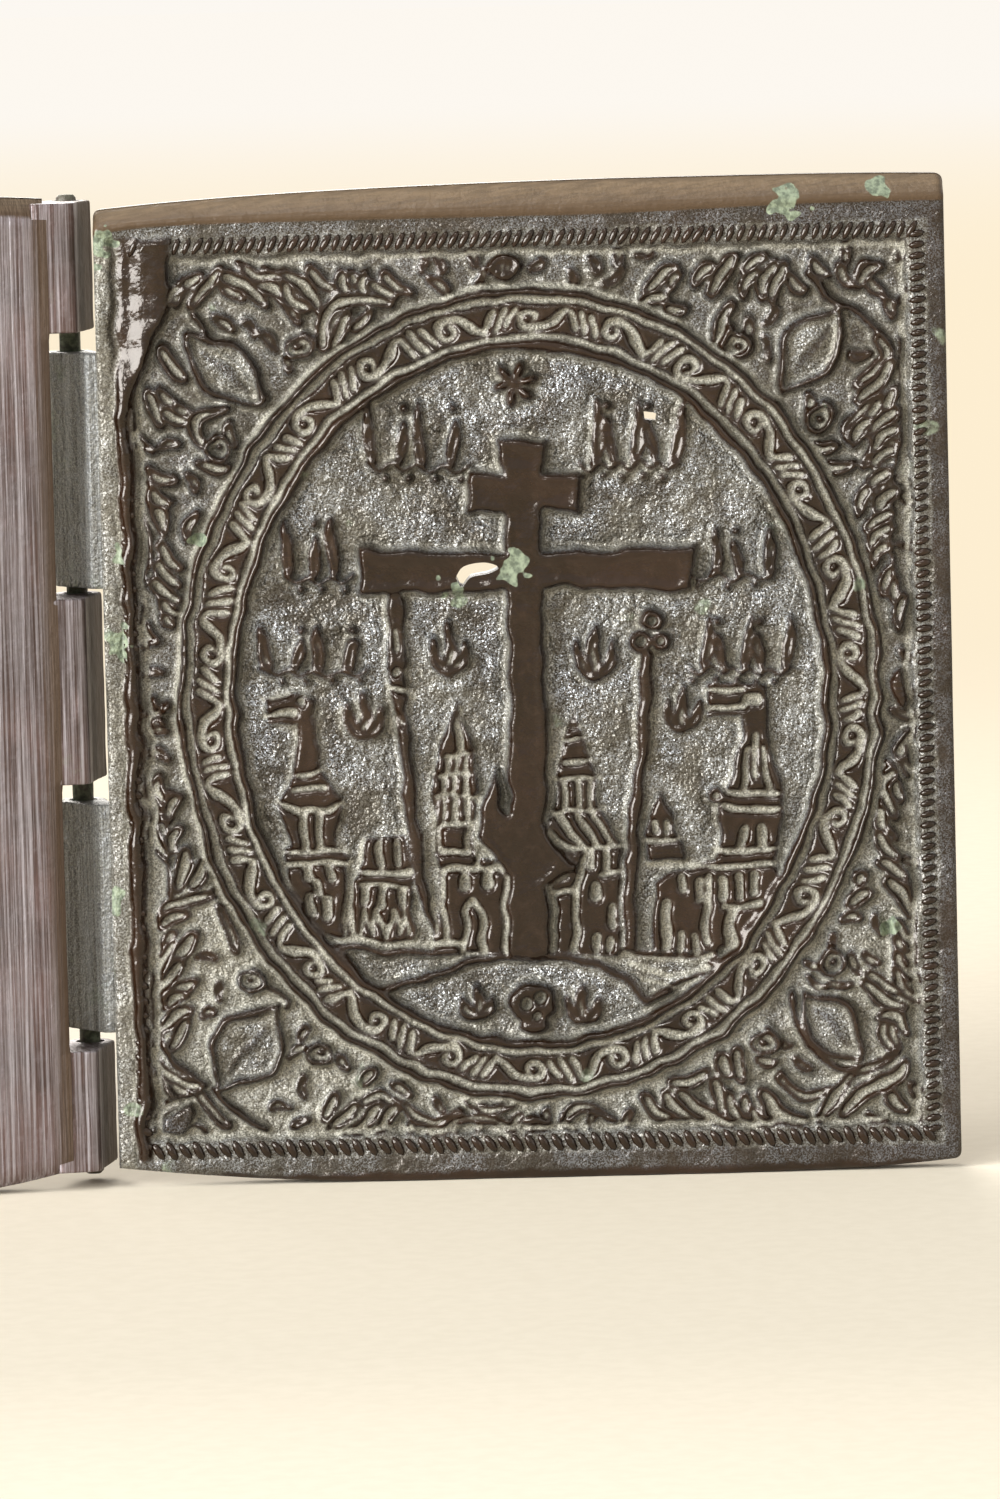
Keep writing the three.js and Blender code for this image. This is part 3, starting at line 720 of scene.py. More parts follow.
@dataclass(frozen=True)
class KnuckleShape:
    """The sizes of the knuckles of one hinge, with shares of a half turn where the web meets the barrel."""

    radius: float = 1.6
    bore: float = 0.95
    wall: float = 0.65
    lip: float = 0.2
    rounding: float = 0.9
    end_rounding: float = 0.16
    recess: float = 1.5
    front_meets: float = 0.14
    lip_meets: float = 1.11
    slope_meets: float = 1.22
    spokes: int = 96
    browned: bool = False

    def on_barrel(self, share: float) -> Point:
        """Return a place on the barrel at a share of a half turn."""
        return self.radius * math.cos(share * math.pi), self.radius * math.sin(share * math.pi)

    def front_side(self, setback: float, front: float) -> list[Point]:
        """Draw the web's front side, from the leaf to the middle of the barrel."""
        return [(setback + self.wall, front), (setback, front), self.on_barrel(self.front_meets), (0.0, 0.0)]

    def full_section(self, setback: float, front: float, back: float) -> list[Point]:
        """Draw the web that fills the leaf's thickness and ends in a rounded lip."""
        lip = bend((self.lip, back + self.rounding), (self.lip, back), (self.lip + self.rounding, back), 8)
        return [*self.front_side(setback, front), self.on_barrel(self.lip_meets), *lip, (setback + self.wall, back)]

    def sloping_section(self, setback: float, front: float, back: float) -> list[Point]:
        """Draw the web that lies below the back and slopes down to the barrel."""
        back += self.recess
        foot = [(setback - self.wall, back), (setback + self.wall, back)]
        return [*self.front_side(setback, front), self.on_barrel(self.slope_meets), *foot]

    def reach(self, section: Sequence[Point]) -> tuple[np.ndarray, np.ndarray]:
        """Return the angles of the spokes, and how far barrel and web reach along each."""
        corners = [math.atan2(y, x) % ROUND for x, y in section if (x, y) != (0.0, 0.0)]
        angles = np.unique(
            np.round(np.concatenate([np.linspace(0, ROUND, self.spokes, endpoint=False), corners]), 5)
        )
        c, s = np.cos(angles), np.sin(angles)
        best = np.full(len(angles), self.radius)
        closed = [*section, section[0]]
        for (px, py), (qx, qy) in zip(closed, closed[1:]):
            ex, ey = qx - px, qy - py
            cross = c * ey - s * ex
            safe = np.where(np.abs(cross) < 1e-9, 1e-9, cross)
            along = (px * ey - py * ex) / safe
            t = (px * s - py * c) / safe
            hit = (np.abs(cross) > 1e-9) & (t > -1e-6) & (t < 1 + 1e-6) & (along > 0)
            best = np.where(hit, np.maximum(best, along), best)
        return angles, best

    def add(
        self,
        draft: MeshDraft,
        hinge: HingeFrame,
        section: Sequence[Point],
        low: float,
        high: float,
        flips: bool,
        **layers: float,
    ) -> None:
        """Add one knuckle with its bore to a draft.

        Args:
            draft: The draft that takes it.
            hinge: The hinge that it turns on.
            section: The web's outline.
            low: The height of its lower end.
            high: The height of its upper end.
            flips: Whether its faces are turned over against the draft's other faces.
            layers: The attribute values on it.
        """
        angles, reach = self.reach(section)
        edge = np.array([0.0, 0.03, 0.08, self.end_rounding])
        middle = np.linspace(low + self.end_rounding, high - self.end_rounding, max(3, int((high - low) / 0.5)))
        z = np.concatenate([low + edge[:-1], middle, high - edge[:-1][::-1]])
        near = np.clip(self.end_rounding - np.minimum(z - low, high - z), 0, self.end_rounding)
        drop = self.end_rounding - np.sqrt(np.maximum(self.end_rounding**2 - near**2, 0))
        noise = np.random.default_rng(SEED + int(low * 10)).standard_normal((len(z), len(angles)))
        wear = blurred(noise, 2.2)
        outer = reach[None, :] - drop[:, None] - 0.03 * np.abs(wear / wear.std())
        x, y = outer * np.cos(angles), outer * np.sin(angles)
        tall = np.broadcast_to(z[:, None], x.shape)
        beyond = {"brown": 0.5 * smooth(0.35 - x / 0.7).ravel()}
        first = draft.add(hinge.place(x, y, tall), **{**layers, **(beyond if self.browned else {})})
        n = len(angles)
        outside = grid_faces(first, len(z), n, wraps=True)
        ends = np.array([z[0], z[-1]])
        bx, by = self.bore * np.cos(angles), self.bore * np.sin(angles)
        inner = draft.add(
            hinge.place(np.tile(bx, (2, 1)), np.tile(by, (2, 1)), np.broadcast_to(ends[:, None], (2, n))), **layers
        )
        inside = grid_faces(inner, 2, n, wraps=True)[:, ::-1]
        k, after = np.arange(n), (np.arange(n) + 1) % n
        last = first + (len(z) - 1) * n
        bottom = np.stack([first + after, first + k, inner + k, inner + after], -1)
        top = np.stack([last + k, last + after, inner + n + after, inner + n + k], -1)
        for faces, is_smooth in ((outside, True), (inside, True), (bottom, False), (top, False)):
            draft.face(faces[:, ::-1] if flips else faces, is_smooth)


class Nodes:
    """Builds a shader tree or group a node at a time."""

    def __init__(self, tree: bpy.types.NodeTree) -> None:
        """Start on an emptied tree."""
        self.tree = tree
        tree.nodes.clear()

    def add(self, kind: str, inputs: dict[str | int, object] | None = None, **settings: object) -> bpy.types.Node:
        """Add a node, give it its settings and fill or link its inputs."""
        node = self.tree.nodes.new(kind)
        for key, value in settings.items():
            setattr(node, key, value)
        for key, value in (inputs or {}).items():
            if isinstance(value, Socket):
                self.tree.links.new(value, node.inputs[key])
            else:
                node.inputs[key].default_value = value
        return node

    def math(self, operation: str, *values: object, clamp: bool = False) -> Socket:
        """Add a Math node and return what it puts out."""
        inputs = dict(enumerate(values))
        return self.add("ShaderNodeMath", inputs, operation=operation, use_clamp=clamp).outputs[0]

    def times(self, *values: object, clamp: bool = False) -> Socket:
        """Multiply two values."""
        return self.math("MULTIPLY", *values, clamp=clamp)

    def plus(self, *values: object, clamp: bool = False) -> Socket:
        """Add two values up."""
        return self.math("ADD", *values, clamp=clamp)

    def mix(self, share: object, first: object, second: object) -> Socket:
        """Mix two colours by a share."""
        return self.add("ShaderNodeMix", {0: share, 6: first, 7: second}, data_type="RGBA").outputs[2]

    def ramp(self, value: object, low: float, high: float, start: float = 0.0, end: float = 1.0) -> Socket:
        """Turn a value into a clamped share between two levels."""
        return self.add(
            "ShaderNodeMapRange", {0: value, 1: low, 2: high, 3: start, 4: end}, interpolation_type="SMOOTHSTEP"
        ).outputs[0]

    def noise(self, vector: object, scale: object, detail: float = 3.0, rough: float = 0.55) -> Socket:
        """Add a Noise Texture and return its value."""
        return self.add(
            "ShaderNodeTexNoise", {"Vector": vector, "Scale": scale, "Detail": detail, "Roughness": rough}
        ).outputs[0]

    def place(self, scale: Place = (1.0, 1.0, 1.0)) -> Socket:
        """Return the object's own coordinates, stretched."""
        source = self.add("ShaderNodeTexCoord").outputs["Object"]
        return self.add("ShaderNodeMapping", {"Vector": source, "Scale": scale}).outputs[0]

    def layer(self, layer: Layer) -> Socket:
        """Return one of the layers that the relief keeps."""
        return self.add("ShaderNodeAttribute", attribute_name=layer.value).outputs["Fac"]


def new_group(name: str, inputs: dict[str, float | tuple], outputs: dict[str, str]) -> tuple[Nodes, dict, dict]:
    """Start a shader node group.

    Args:
        name: The group's name.
        inputs: Each input's name and value, a number, or four numbers for a colour.
        outputs: Each output's name and socket type.

    Returns:
        The builder, the inputs' sockets and the outputs' sockets, by name.
    """
    tree = bpy.data.node_groups.new(name, "ShaderNodeTree")
    build = Nodes(tree)
    for key, value in inputs.items():
        kind = "NodeSocketFloat" if isinstance(value, float) else "NodeSocketColor"
        tree.interface.new_socket(key, in_out="INPUT", socket_type=kind).default_value = value
    for key, kind in outputs.items():
        tree.interface.new_socket(key, in_out="OUTPUT", socket_type=kind)
    source, sink = build.add("NodeGroupInput"), build.add("NodeGroupOutput")
    return build, {k: source.outputs[k] for k in inputs}, {k: sink.inputs[k] for k in outputs}


class Effects:
    """The shader node groups that the finishes share."""

    def __init__(self) -> None:
        """Build each group once."""
        self.patina = self.build_patina()
        self.grain = self.build_grain()
        self.verdigris = self.build_verdigris()

    def build_patina(self) -> bpy.types.NodeTree:
        """Build the cloudy change from one patina colour to another."""
        inputs = {
            "Dark": (0.03, 0.02, 0.015, 1.0),
            "Warm": (0.08, 0.04, 0.03, 1.0),
            "Worn": (0.2, 0.12, 0.09, 1.0),
            "Cloud": 130.0,
            "Warmth": 0.5,
            "Wear": 0.3,
        }
        build, given, out = new_group("patina", inputs, {"Color": "NodeSocketColor"})
        here = build.place()
        cloud = build.noise(here, given["Cloud"], 5.0, 0.6)
        warm = build.times(build.ramp(cloud, 0.38, 0.66), given["Warmth"])
        fine = build.noise(here, 1500.0, 4.0, 0.6)
        worn = build.times(build.ramp(fine, 0.5, 0.72), given["Wear"])
        colour = build.mix(worn, build.mix(warm, given["Dark"], given["Warm"]), given["Worn"])
        build.tree.links.new(colour, out["Color"])
        return build.tree

    def build_grain(self) -> bpy.types.NodeTree:
        """Build the pits and crystals of a rough cast ground."""
        inputs = {"Coarse": 4300.0, "Fine": 14000.0, "Pits": 1.5}
        build, given, out = new_group("cast_grain", inputs, {"Height": "NodeSocketFloat"})
        here = build.place()
        cells = build.add("ShaderNodeTexVoronoi", {"Vector": here, "Scale": given["Coarse"]}, feature="F1")
        broad = build.noise(here, build.times(given["Coarse"], 0.62), 2.0, 0.6)
        fine = build.noise(here, given["Fine"], 2.0)
        pits = build.times(cells.outputs["Distance"], given["Pits"])
        height = build.plus(build.times(fine, 0.35), build.times(broad, 4.0))
        height = build.math("SUBTRACT", height, pits)
        build.tree.links.new(height, out["Height"])
        return build.tree

    def build_verdigris(self) -> bpy.types.NodeTree:
        """Build the green crust that gathers in patches."""
        inputs = {"Patch": 260.0, "Amount": 0.4, "Base": (0.1, 0.1, 0.1, 1.0)}
        outputs = {"Color": "NodeSocketColor", "Mask": "NodeSocketFloat"}
        build, given, out = new_group("verdigris", inputs, outputs)
        here = build.place()
        patch = build.noise(here, given["Patch"], 5.0, 0.7)
        mask = build.ramp(build.plus(patch, given["Amount"]), 0.78, 1.02)
        tone = build.noise(here, 2600.0, 3.0)
        green = build.mix(build.ramp(tone, 0.35, 0.65), (0.09, 0.11, 0.075, 1.0), (0.24, 0.28, 0.19, 1.0))
        build.tree.links.new(build.mix(mask, given["Base"], green), out["Color"])
        build.tree.links.new(mask, out["Mask"])
        return build.tree


@dataclass(frozen=True)
class BronzeFinish:
    """A finish of old bronze: its patina, its dirt and how it is worked."""

    name: str
    dark: Colour
    warm: Colour
    worn: Colour
    dust: Colour = (0.3, 0.283, 0.228)
    ground: Colour = (0.124, 0.131, 0.142)
    ground_shine: float = 2.15
    pit: Colour = (0.026, 0.018, 0.011)
    warmth: float = 0.5
    wear: float = 0.2
    roughness: float = 0.3
    metallic: float = 0.3
    ground_metal: float = 0.75
    file_marks: float = 0.0
    green: float = 0.0
    brown: Colour = (0.13, 0.088, 0.05)
    deep_brown: Colour = (0.062, 0.036, 0.018)
    smoothness: float = 0.1
    lumps: float = 1.2
    gloss: float = 1.45
    tint: Colour = (1.0, 1.0, 1.0)
    bump: float = 0.00005

    @staticmethod
    def shade(colour: Colour, share: float) -> tuple[float, float, float, float]:
        """Return a colour made lighter or darker by a share."""
        return (*(min(share * c, 1.0) for c in colour), 1.0)

    def material(self, effects: Effects) -> bpy.types.Material:
        """Build the material.

        Args:
            effects: The shared shader node groups.

        Returns:
            The material.
        """
        made = bpy.data.materials.new(self.name)
        made.use_nodes = True
        build = Nodes(made.node_tree)
        dust, grain, green, brown = (build.layer(layer) for layer in Layer)
        here = build.place()
        cloud = build.noise(here, 900.0, 4.0, 0.65)
        ground_share = build.times(grain, build.ramp(cloud, 0.2, 0.6, 0.55, 1.0))
        dust_share = build.times(dust, build.ramp(cloud, 0.25, 0.55, 0.55, 1.0), clamp=True)
        colour = self._colour(build, effects, here, ground_share, dust_share, brown)
        amount = build.plus(build.times(green, 0.6), self.green)
        crust = build.add("ShaderNodeGroup", {"Base": colour, "Amount": amount}, node_tree=effects.verdigris)
        covered = build.math("MAXIMUM", dust_share, brown)
        matte = build.math("MAXIMUM", covered, crust.outputs["Mask"], clamp=True)
        bare = build.math("MAXIMUM", self.metallic, build.times(ground_share, self.ground_metal))
        metal = build.times(bare, build.math("SUBTRACT", 1.0, matte), clamp=True)
        rough = build.plus(self.roughness, build.times(matte, 0.34))
        rough = build.plus(rough, build.times(build.ramp(cloud, 0.3, 0.8), 0.07), clamp=True)
        height = self._height(build, effects, here, grain, dust)
        bump = build.add("ShaderNodeBump", {"Height": height, "Distance": self.bump, "Strength": 1.0})
        shader = build.add(
            "ShaderNodeBsdfPrincipled",
            {
                "Base Color": crust.outputs["Color"],
                "Roughness": rough,
                "Metallic": metal,
                "Normal": bump.outputs[0],
                "IOR": self.gloss,
                "Specular Tint": (*self.tint, 1.0),
            },
        )
        build.add("ShaderNodeOutputMaterial", {"Surface": shader.outputs[0]})
        return made

    def _colour(
        self, build: Nodes, effects: Effects, here: Socket, ground_share: Socket, dust_share: Socket, brown: Socket
    ) -> Socket:
        """Lay the rough ground, the file's scratches, the brown wear and the dust over the patina.

        Args:
            build: The material's tree.
            effects: The shared shader node groups.
            here: The places that the noises are read at.
            ground_share: How much of the rough ground shows.
            dust_share: How much dust lies there.
            brown: The layer of brown wear.

        Returns:
            The colour below the green crust.
        """
        speck = build.noise(here, 9500.0, 2.0)
        shine = build.ramp(build.noise(here, 330.0, 5.0, 0.62), 0.38, 0.6, 0.12, 1.3)
        glints = build.times(build.ramp(speck, 0.42, 0.62), shine)
        ground_tone = build.mix(glints, self.shade(self.pit, 1.0), self.shade(self.ground, self.ground_shine))
        colour = build.mix(ground_share, self._patina(build, effects).outputs["Color"], ground_tone)
        if self.file_marks:
            scratch = build.noise(build.place((1.0, 0.2, 0.01)), 5200.0, 5.0, 0.7)
            colour = build.mix(build.ramp(scratch, 0.38, 0.68, 0.0, 0.75), colour, self.shade(self.worn, 1.0))
        streak = build.noise(build.place((0.04, 1.0, 1.0)), 3200.0, 5.0, 0.65)
        brown_tone = build.mix(build.ramp(streak, 0.3, 0.7), self.shade(self.brown, 0.7), self.shade(self.brown, 1.25))
        brown_tone = build.mix(build.ramp(brown, 0.42, 0.95), self.shade(self.deep_brown, 1.0), brown_tone)
        colour = build.mix(build.ramp(brown, 0.0, 0.4), colour, brown_tone)
        dust_tone = build.mix(build.ramp(speck, 0.36, 0.64), self.shade(self.dust, 0.5), self.shade(self.dust, 1.4))
        return build.mix(dust_share, colour, dust_tone)

    def _height(self, build: Nodes, effects: Effects, here: Socket, grain: Socket, dust: Socket) -> Socket:
        """Build the fine height of the surface: its grain, its lumps and the marks of a file."""
        pits = build.add("ShaderNodeGroup", node_tree=effects.grain).outputs["Height"]
        share = build.plus(self.smoothness, build.times(build.math("MAXIMUM", grain, dust), 0.85))
        lumps = build.noise(here, 1100.0, 2.0, 0.5)
        swell = build.plus(self.lumps, build.times(grain, 2.0))
        height = build.plus(build.times(pits, share), build.times(lumps, swell))
        return build.plus(height, self._marks(build)) if self.file_marks else height

    def _patina(self, build: Nodes, effects: Effects) -> bpy.types.Node:
        """Place the patina group with this finish's colours."""
        colours = {"Dark": self.dark, "Warm": self.warm, "Worn": self.worn}
        given = {key: (*colour, 1.0) for key, colour in colours.items()}
        given |= {"Warmth": self.warmth, "Wear": self.wear}
        return build.add("ShaderNodeGroup", given, node_tree=effects.patina)

    def _marks(self, build: Nodes) -> Socket:
        """Build the long upright scratches that a file leaves."""
        broad = build.noise(build.place((1.0, 0.2, 0.016)), 2300.0, 3.0, 0.7)
        fine = build.noise(build.place((1.0, 0.2, 0.03)), 7000.0, 2.0, 0.6)
        both = build.plus(build.times(broad, 1.6), fine)
        return build.times(both, self.file_marks)


class Finishes:
    """Every material of the icon."""

    def __init__(self) -> None:
        """Build the shared groups and the materials."""
        effects = Effects()
        self.relief = BronzeFinish(
            "relief_bronze",
            dark=(0.009, 0.0034, 0.0008),
            warm=(0.028, 0.0125, 0.0065),
            worn=(0.055, 0.031, 0.02),
            metallic=0.05,
            roughness=0.14,
            gloss=1.5,
            tint=(1.0, 0.92, 0.83),
        ).material(effects)
        self.front = BronzeFinish(
            "front_bronze",
            dark=(0.05, 0.033, 0.024),
            warm=(0.085, 0.048, 0.034),
            worn=(0.2, 0.13, 0.085),
            dust=(0.16, 0.145, 0.1),
            roughness=0.32,
        ).material(effects)
        self.filed = BronzeFinish(
            "filed_bronze",
            dark=(0.055, 0.034, 0.028),
            warm=(0.17, 0.1, 0.088),
            worn=(0.42, 0.385, 0.4),
            brown=(0.11, 0.075, 0.045),
            wear=0.1,
            roughness=0.4,
            metallic=0.45,
            file_marks=0.75,
            bump=0.00006,
        ).material(effects)
        self.knuckle = BronzeFinish(
            "knuckle_bronze",
            dark=(0.05, 0.05, 0.052),
            warm=(0.12, 0.12, 0.122),
            worn=(0.34, 0.355, 0.37),
            wear=0.2,
            roughness=0.3,
            metallic=0.5,
            green=0.08,
            file_marks=0.9,
            bump=0.00006,
        ).material(effects)
        self.pin = BronzeFinish(
            "pin_bronze",
            dark=(0.05, 0.032, 0.022),
            warm=(0.09, 0.05, 0.035),
            worn=(0.22, 0.14, 0.1),
            green=0.3,
            roughness=0.42,
        ).material(effects)
        self.floor = self.build_floor()

    @staticmethod
    def build_floor() -> bpy.types.Material:
        """Build the pale floor, which turns into the bright surroundings far from the icon."""
        made = bpy.data.materials.new("pale_floor")
        made.use_nodes = True
        build = Nodes(made.node_tree)
        here = build.add("ShaderNodeTexCoord").outputs["Object"]
        flat = build.add("ShaderNodeVectorMath", {0: here, 1: (1.0, 1.0, 0.0)}, operation="MULTIPLY").outputs[0]
        away = build.add("ShaderNodeVectorMath", {0: flat}, operation="LENGTH").outputs[1]
        cloth = build.noise(here, 700.0, 3.0)
        near = build.mix(build.ramp(cloth, 0.3, 0.7), (0.87, 0.77, 0.6, 1.0), (0.9, 0.8, 0.63, 1.0))
        far = build.mix(build.ramp(away, 1.2, 3.6), (0.985, 0.855, 0.64, 1.0), (0.98, 0.935, 0.87, 1.0))
        surface = build.add("ShaderNodeBsdfPrincipled", {"Base Color": near, "Roughness": 0.8})
        glow = build.add("ShaderNodeEmission", {"Color": far, "Strength": 1.0})
        path = build.add("ShaderNodeLightPath")
        seen = build.math("MAXIMUM", path.outputs["Is Camera Ray"], path.outputs["Is Glossy Ray"])
        share = build.times(build.ramp(away, 0.07, 0.5), seen)
        mixed = build.add("ShaderNodeMixShader", {0: share, 1: surface.outputs[0], 2: glow.outputs[0]})
        build.add("ShaderNodeOutputMaterial", {"Surface": mixed.outputs[0]})
        return made


class PathRepeat:
    """A Geometry Nodes tree that sets one small strand at every step along a path."""

    floats = {
        "Pitch": 0.7 * MM,
        "Tilt": 0.0,
        "Length": 1.0 * MM,
        "Width": 0.4 * MM,
        "Height": 0.2 * MM,
        "Scatter": 0.1,
    }

    def __init__(self, name: str, segments: int = 8, rings: int = 6) -> None:
        """Build the tree.

        Args:
            name: The tree's name.
            segments: How many sides a strand has.
            rings: How many rings it has.
        """
        self.tree = bpy.data.node_groups.new(name, "GeometryNodeTree")
        self.sockets: dict[str, str] = {}
        self.open_sockets()
        self.lay_strands(segments, rings)

    def open_sockets(self) -> None:
        """Give the tree its inputs and its output."""
        face = self.tree.interface
        face.new_socket("Path", in_out="INPUT", socket_type="NodeSocketGeometry")
        given = [(key, "NodeSocketFloat", value) for key, value in self.floats.items()]
        given += [("Seed", "NodeSocketInt", SEED), ("Finish", "NodeSocketMaterial", None)]
        for key, kind, value in given:
            socket = face.new_socket(key, in_out="INPUT", socket_type=kind)
            socket.default_value = value
            self.sockets[key] = socket.identifier
        face.new_socket("Strands", in_out="OUTPUT", socket_type="NodeSocketGeometry")

    def lay_strands(self, segments: int, rings: int) -> None:
        """Set a strand at every step along the path, turned along it and a little unlike the next."""
        build = Nodes(self.tree)
        given, out = build.add("NodeGroupInput").outputs, build.add("NodeGroupOutput")
        curve = build.add("GeometryNodeMeshToCurve", {"Mesh": given["Path"]})
        even = build.add(
            "GeometryNodeResampleCurve", {"Curve": curve.outputs[0], "Length": given["Pitch"]}, mode="LENGTH"
        )
        strand = build.add("GeometryNodeMeshUVSphere", {"Segments": segments, "Rings": rings, "Radius": 1.0})
        tangent = build.add("GeometryNodeInputTangent")
        parts = build.add("ShaderNodeSeparateXYZ", {0: tangent.outputs[0]})
        angle = build.math("ARCTAN2", parts.outputs[1], parts.outputs[0])
        shift = build.add("FunctionNodeRandomValue", {2: -1.0, 3: 1.0, "Seed": given["Seed"]}, data_type="FLOAT")
        wobble = build.times(shift.outputs[1], given["Scatter"])
        turn = build.plus(build.plus(angle, given["Tilt"]), wobble)
        euler = build.add("ShaderNodeCombineXYZ", {2: turn})
        rotation = build.add("FunctionNodeEulerToRotation", {0: euler.outputs[0]})
        size = build.add("FunctionNodeRandomValue", {2: 0.0, 3: 1.0, "Seed": given["Seed"]}, data_type="FLOAT")
        swell = build.math("SUBTRACT", 1.0, build.times(size.outputs[1], given["Scatter"]))
        sizes = {k: build.times(given[key], swell) for k, key in enumerate(("Length", "Width", "Height"))}
        scale = build.add("ShaderNodeCombineXYZ", sizes)
        points = build.add(
            "GeometryNodeInstanceOnPoints",
            {
                "Points": even.outputs[0],
                "Instance": strand.outputs[0],
                "Rotation": rotation.outputs[0],
                "Scale": scale.outputs[0],
            },
        )
        whole = build.add("GeometryNodeRealizeInstances", {0: points.outputs[0]})
        shaded = build.add("GeometryNodeSetShadeSmooth", {0: whole.outputs[0]})
        dressed = build.add("GeometryNodeSetMaterial", {0: shaded.outputs[0], "Material": given["Finish"]})
        self.tree.links.new(dressed.outputs[0], out.inputs[0])

    def along(
        self, name: str, paths: Sequence[Sequence[Place]], finish: bpy.types.Material, **sizes: float
    ) -> bpy.types.Mesh:
        """Bake the strands along paths into one mesh.

        Args:
            name: The mesh's name.
            paths: The places of each path, in metres, in the leaf's own plane.
            finish: The strands' material.
            sizes: The tree's inputs by name.

        Returns:
            The baked mesh.
        """
        draft = bpy.data.meshes.new(name + "_path")
        places = [p for path in paths for p in path]
        edges, first = [], 0
        for path in paths:
            edges += [(first + i, first + i + 1) for i in range(len(path) - 1)]
            first += len(path)
        draft.from_pydata(places, edges, [])
        holder = linked(name + "_path", draft)
        modifier = holder.modifiers.new("strands", "NODES")
        modifier.node_group = self.tree
        for key, value in sizes.items():
            modifier[self.sockets[key]] = value
        modifier[self.sockets["Finish"]] = finish
        graph = bpy.context.evaluated_depsgraph_get()
        made = bpy.data.meshes.new_from_object(holder.evaluated_get(graph))
        holder.modifiers.clear()
        bpy.data.objects.remove(holder)
        made.name = name
        return made


def placed(name: str, mesh: bpy.types.Mesh, matrix: Matrix) -> bpy.types.Object:
    """Make an object of a mesh drawn in a leaf's own plane, with its place in its mesh."""
    mesh.transform(matrix)
    if matrix.determinant() < 0:
        mesh.flip_normals()
    return linked(name, mesh)


def keep_piece(piece: bpy.types.Object, body: str, slot: str, *nodes: str) -> bpy.types.Object:
    """Hang a piece on the body that it rides on, and hide the frame's solids that it stands for."""
    if nodes:
        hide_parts(*nodes)
    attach(piece, body)
    LOG.info("%s: %d faces on %s", piece.name, len(piece.data.polygons), body)
    return piece


@dataclass(frozen=True)
class Levels:
    """Depths below the highest plane of the carved back, in millimetres."""

    top: float = 0.1
    ridge: float = 0.4
    leaf: float = 0.46
    ledge: float = 0.55
    building: float = 0.54
    groove: float = 0.98
    ground: float = 1.14


LEVELS = Levels()


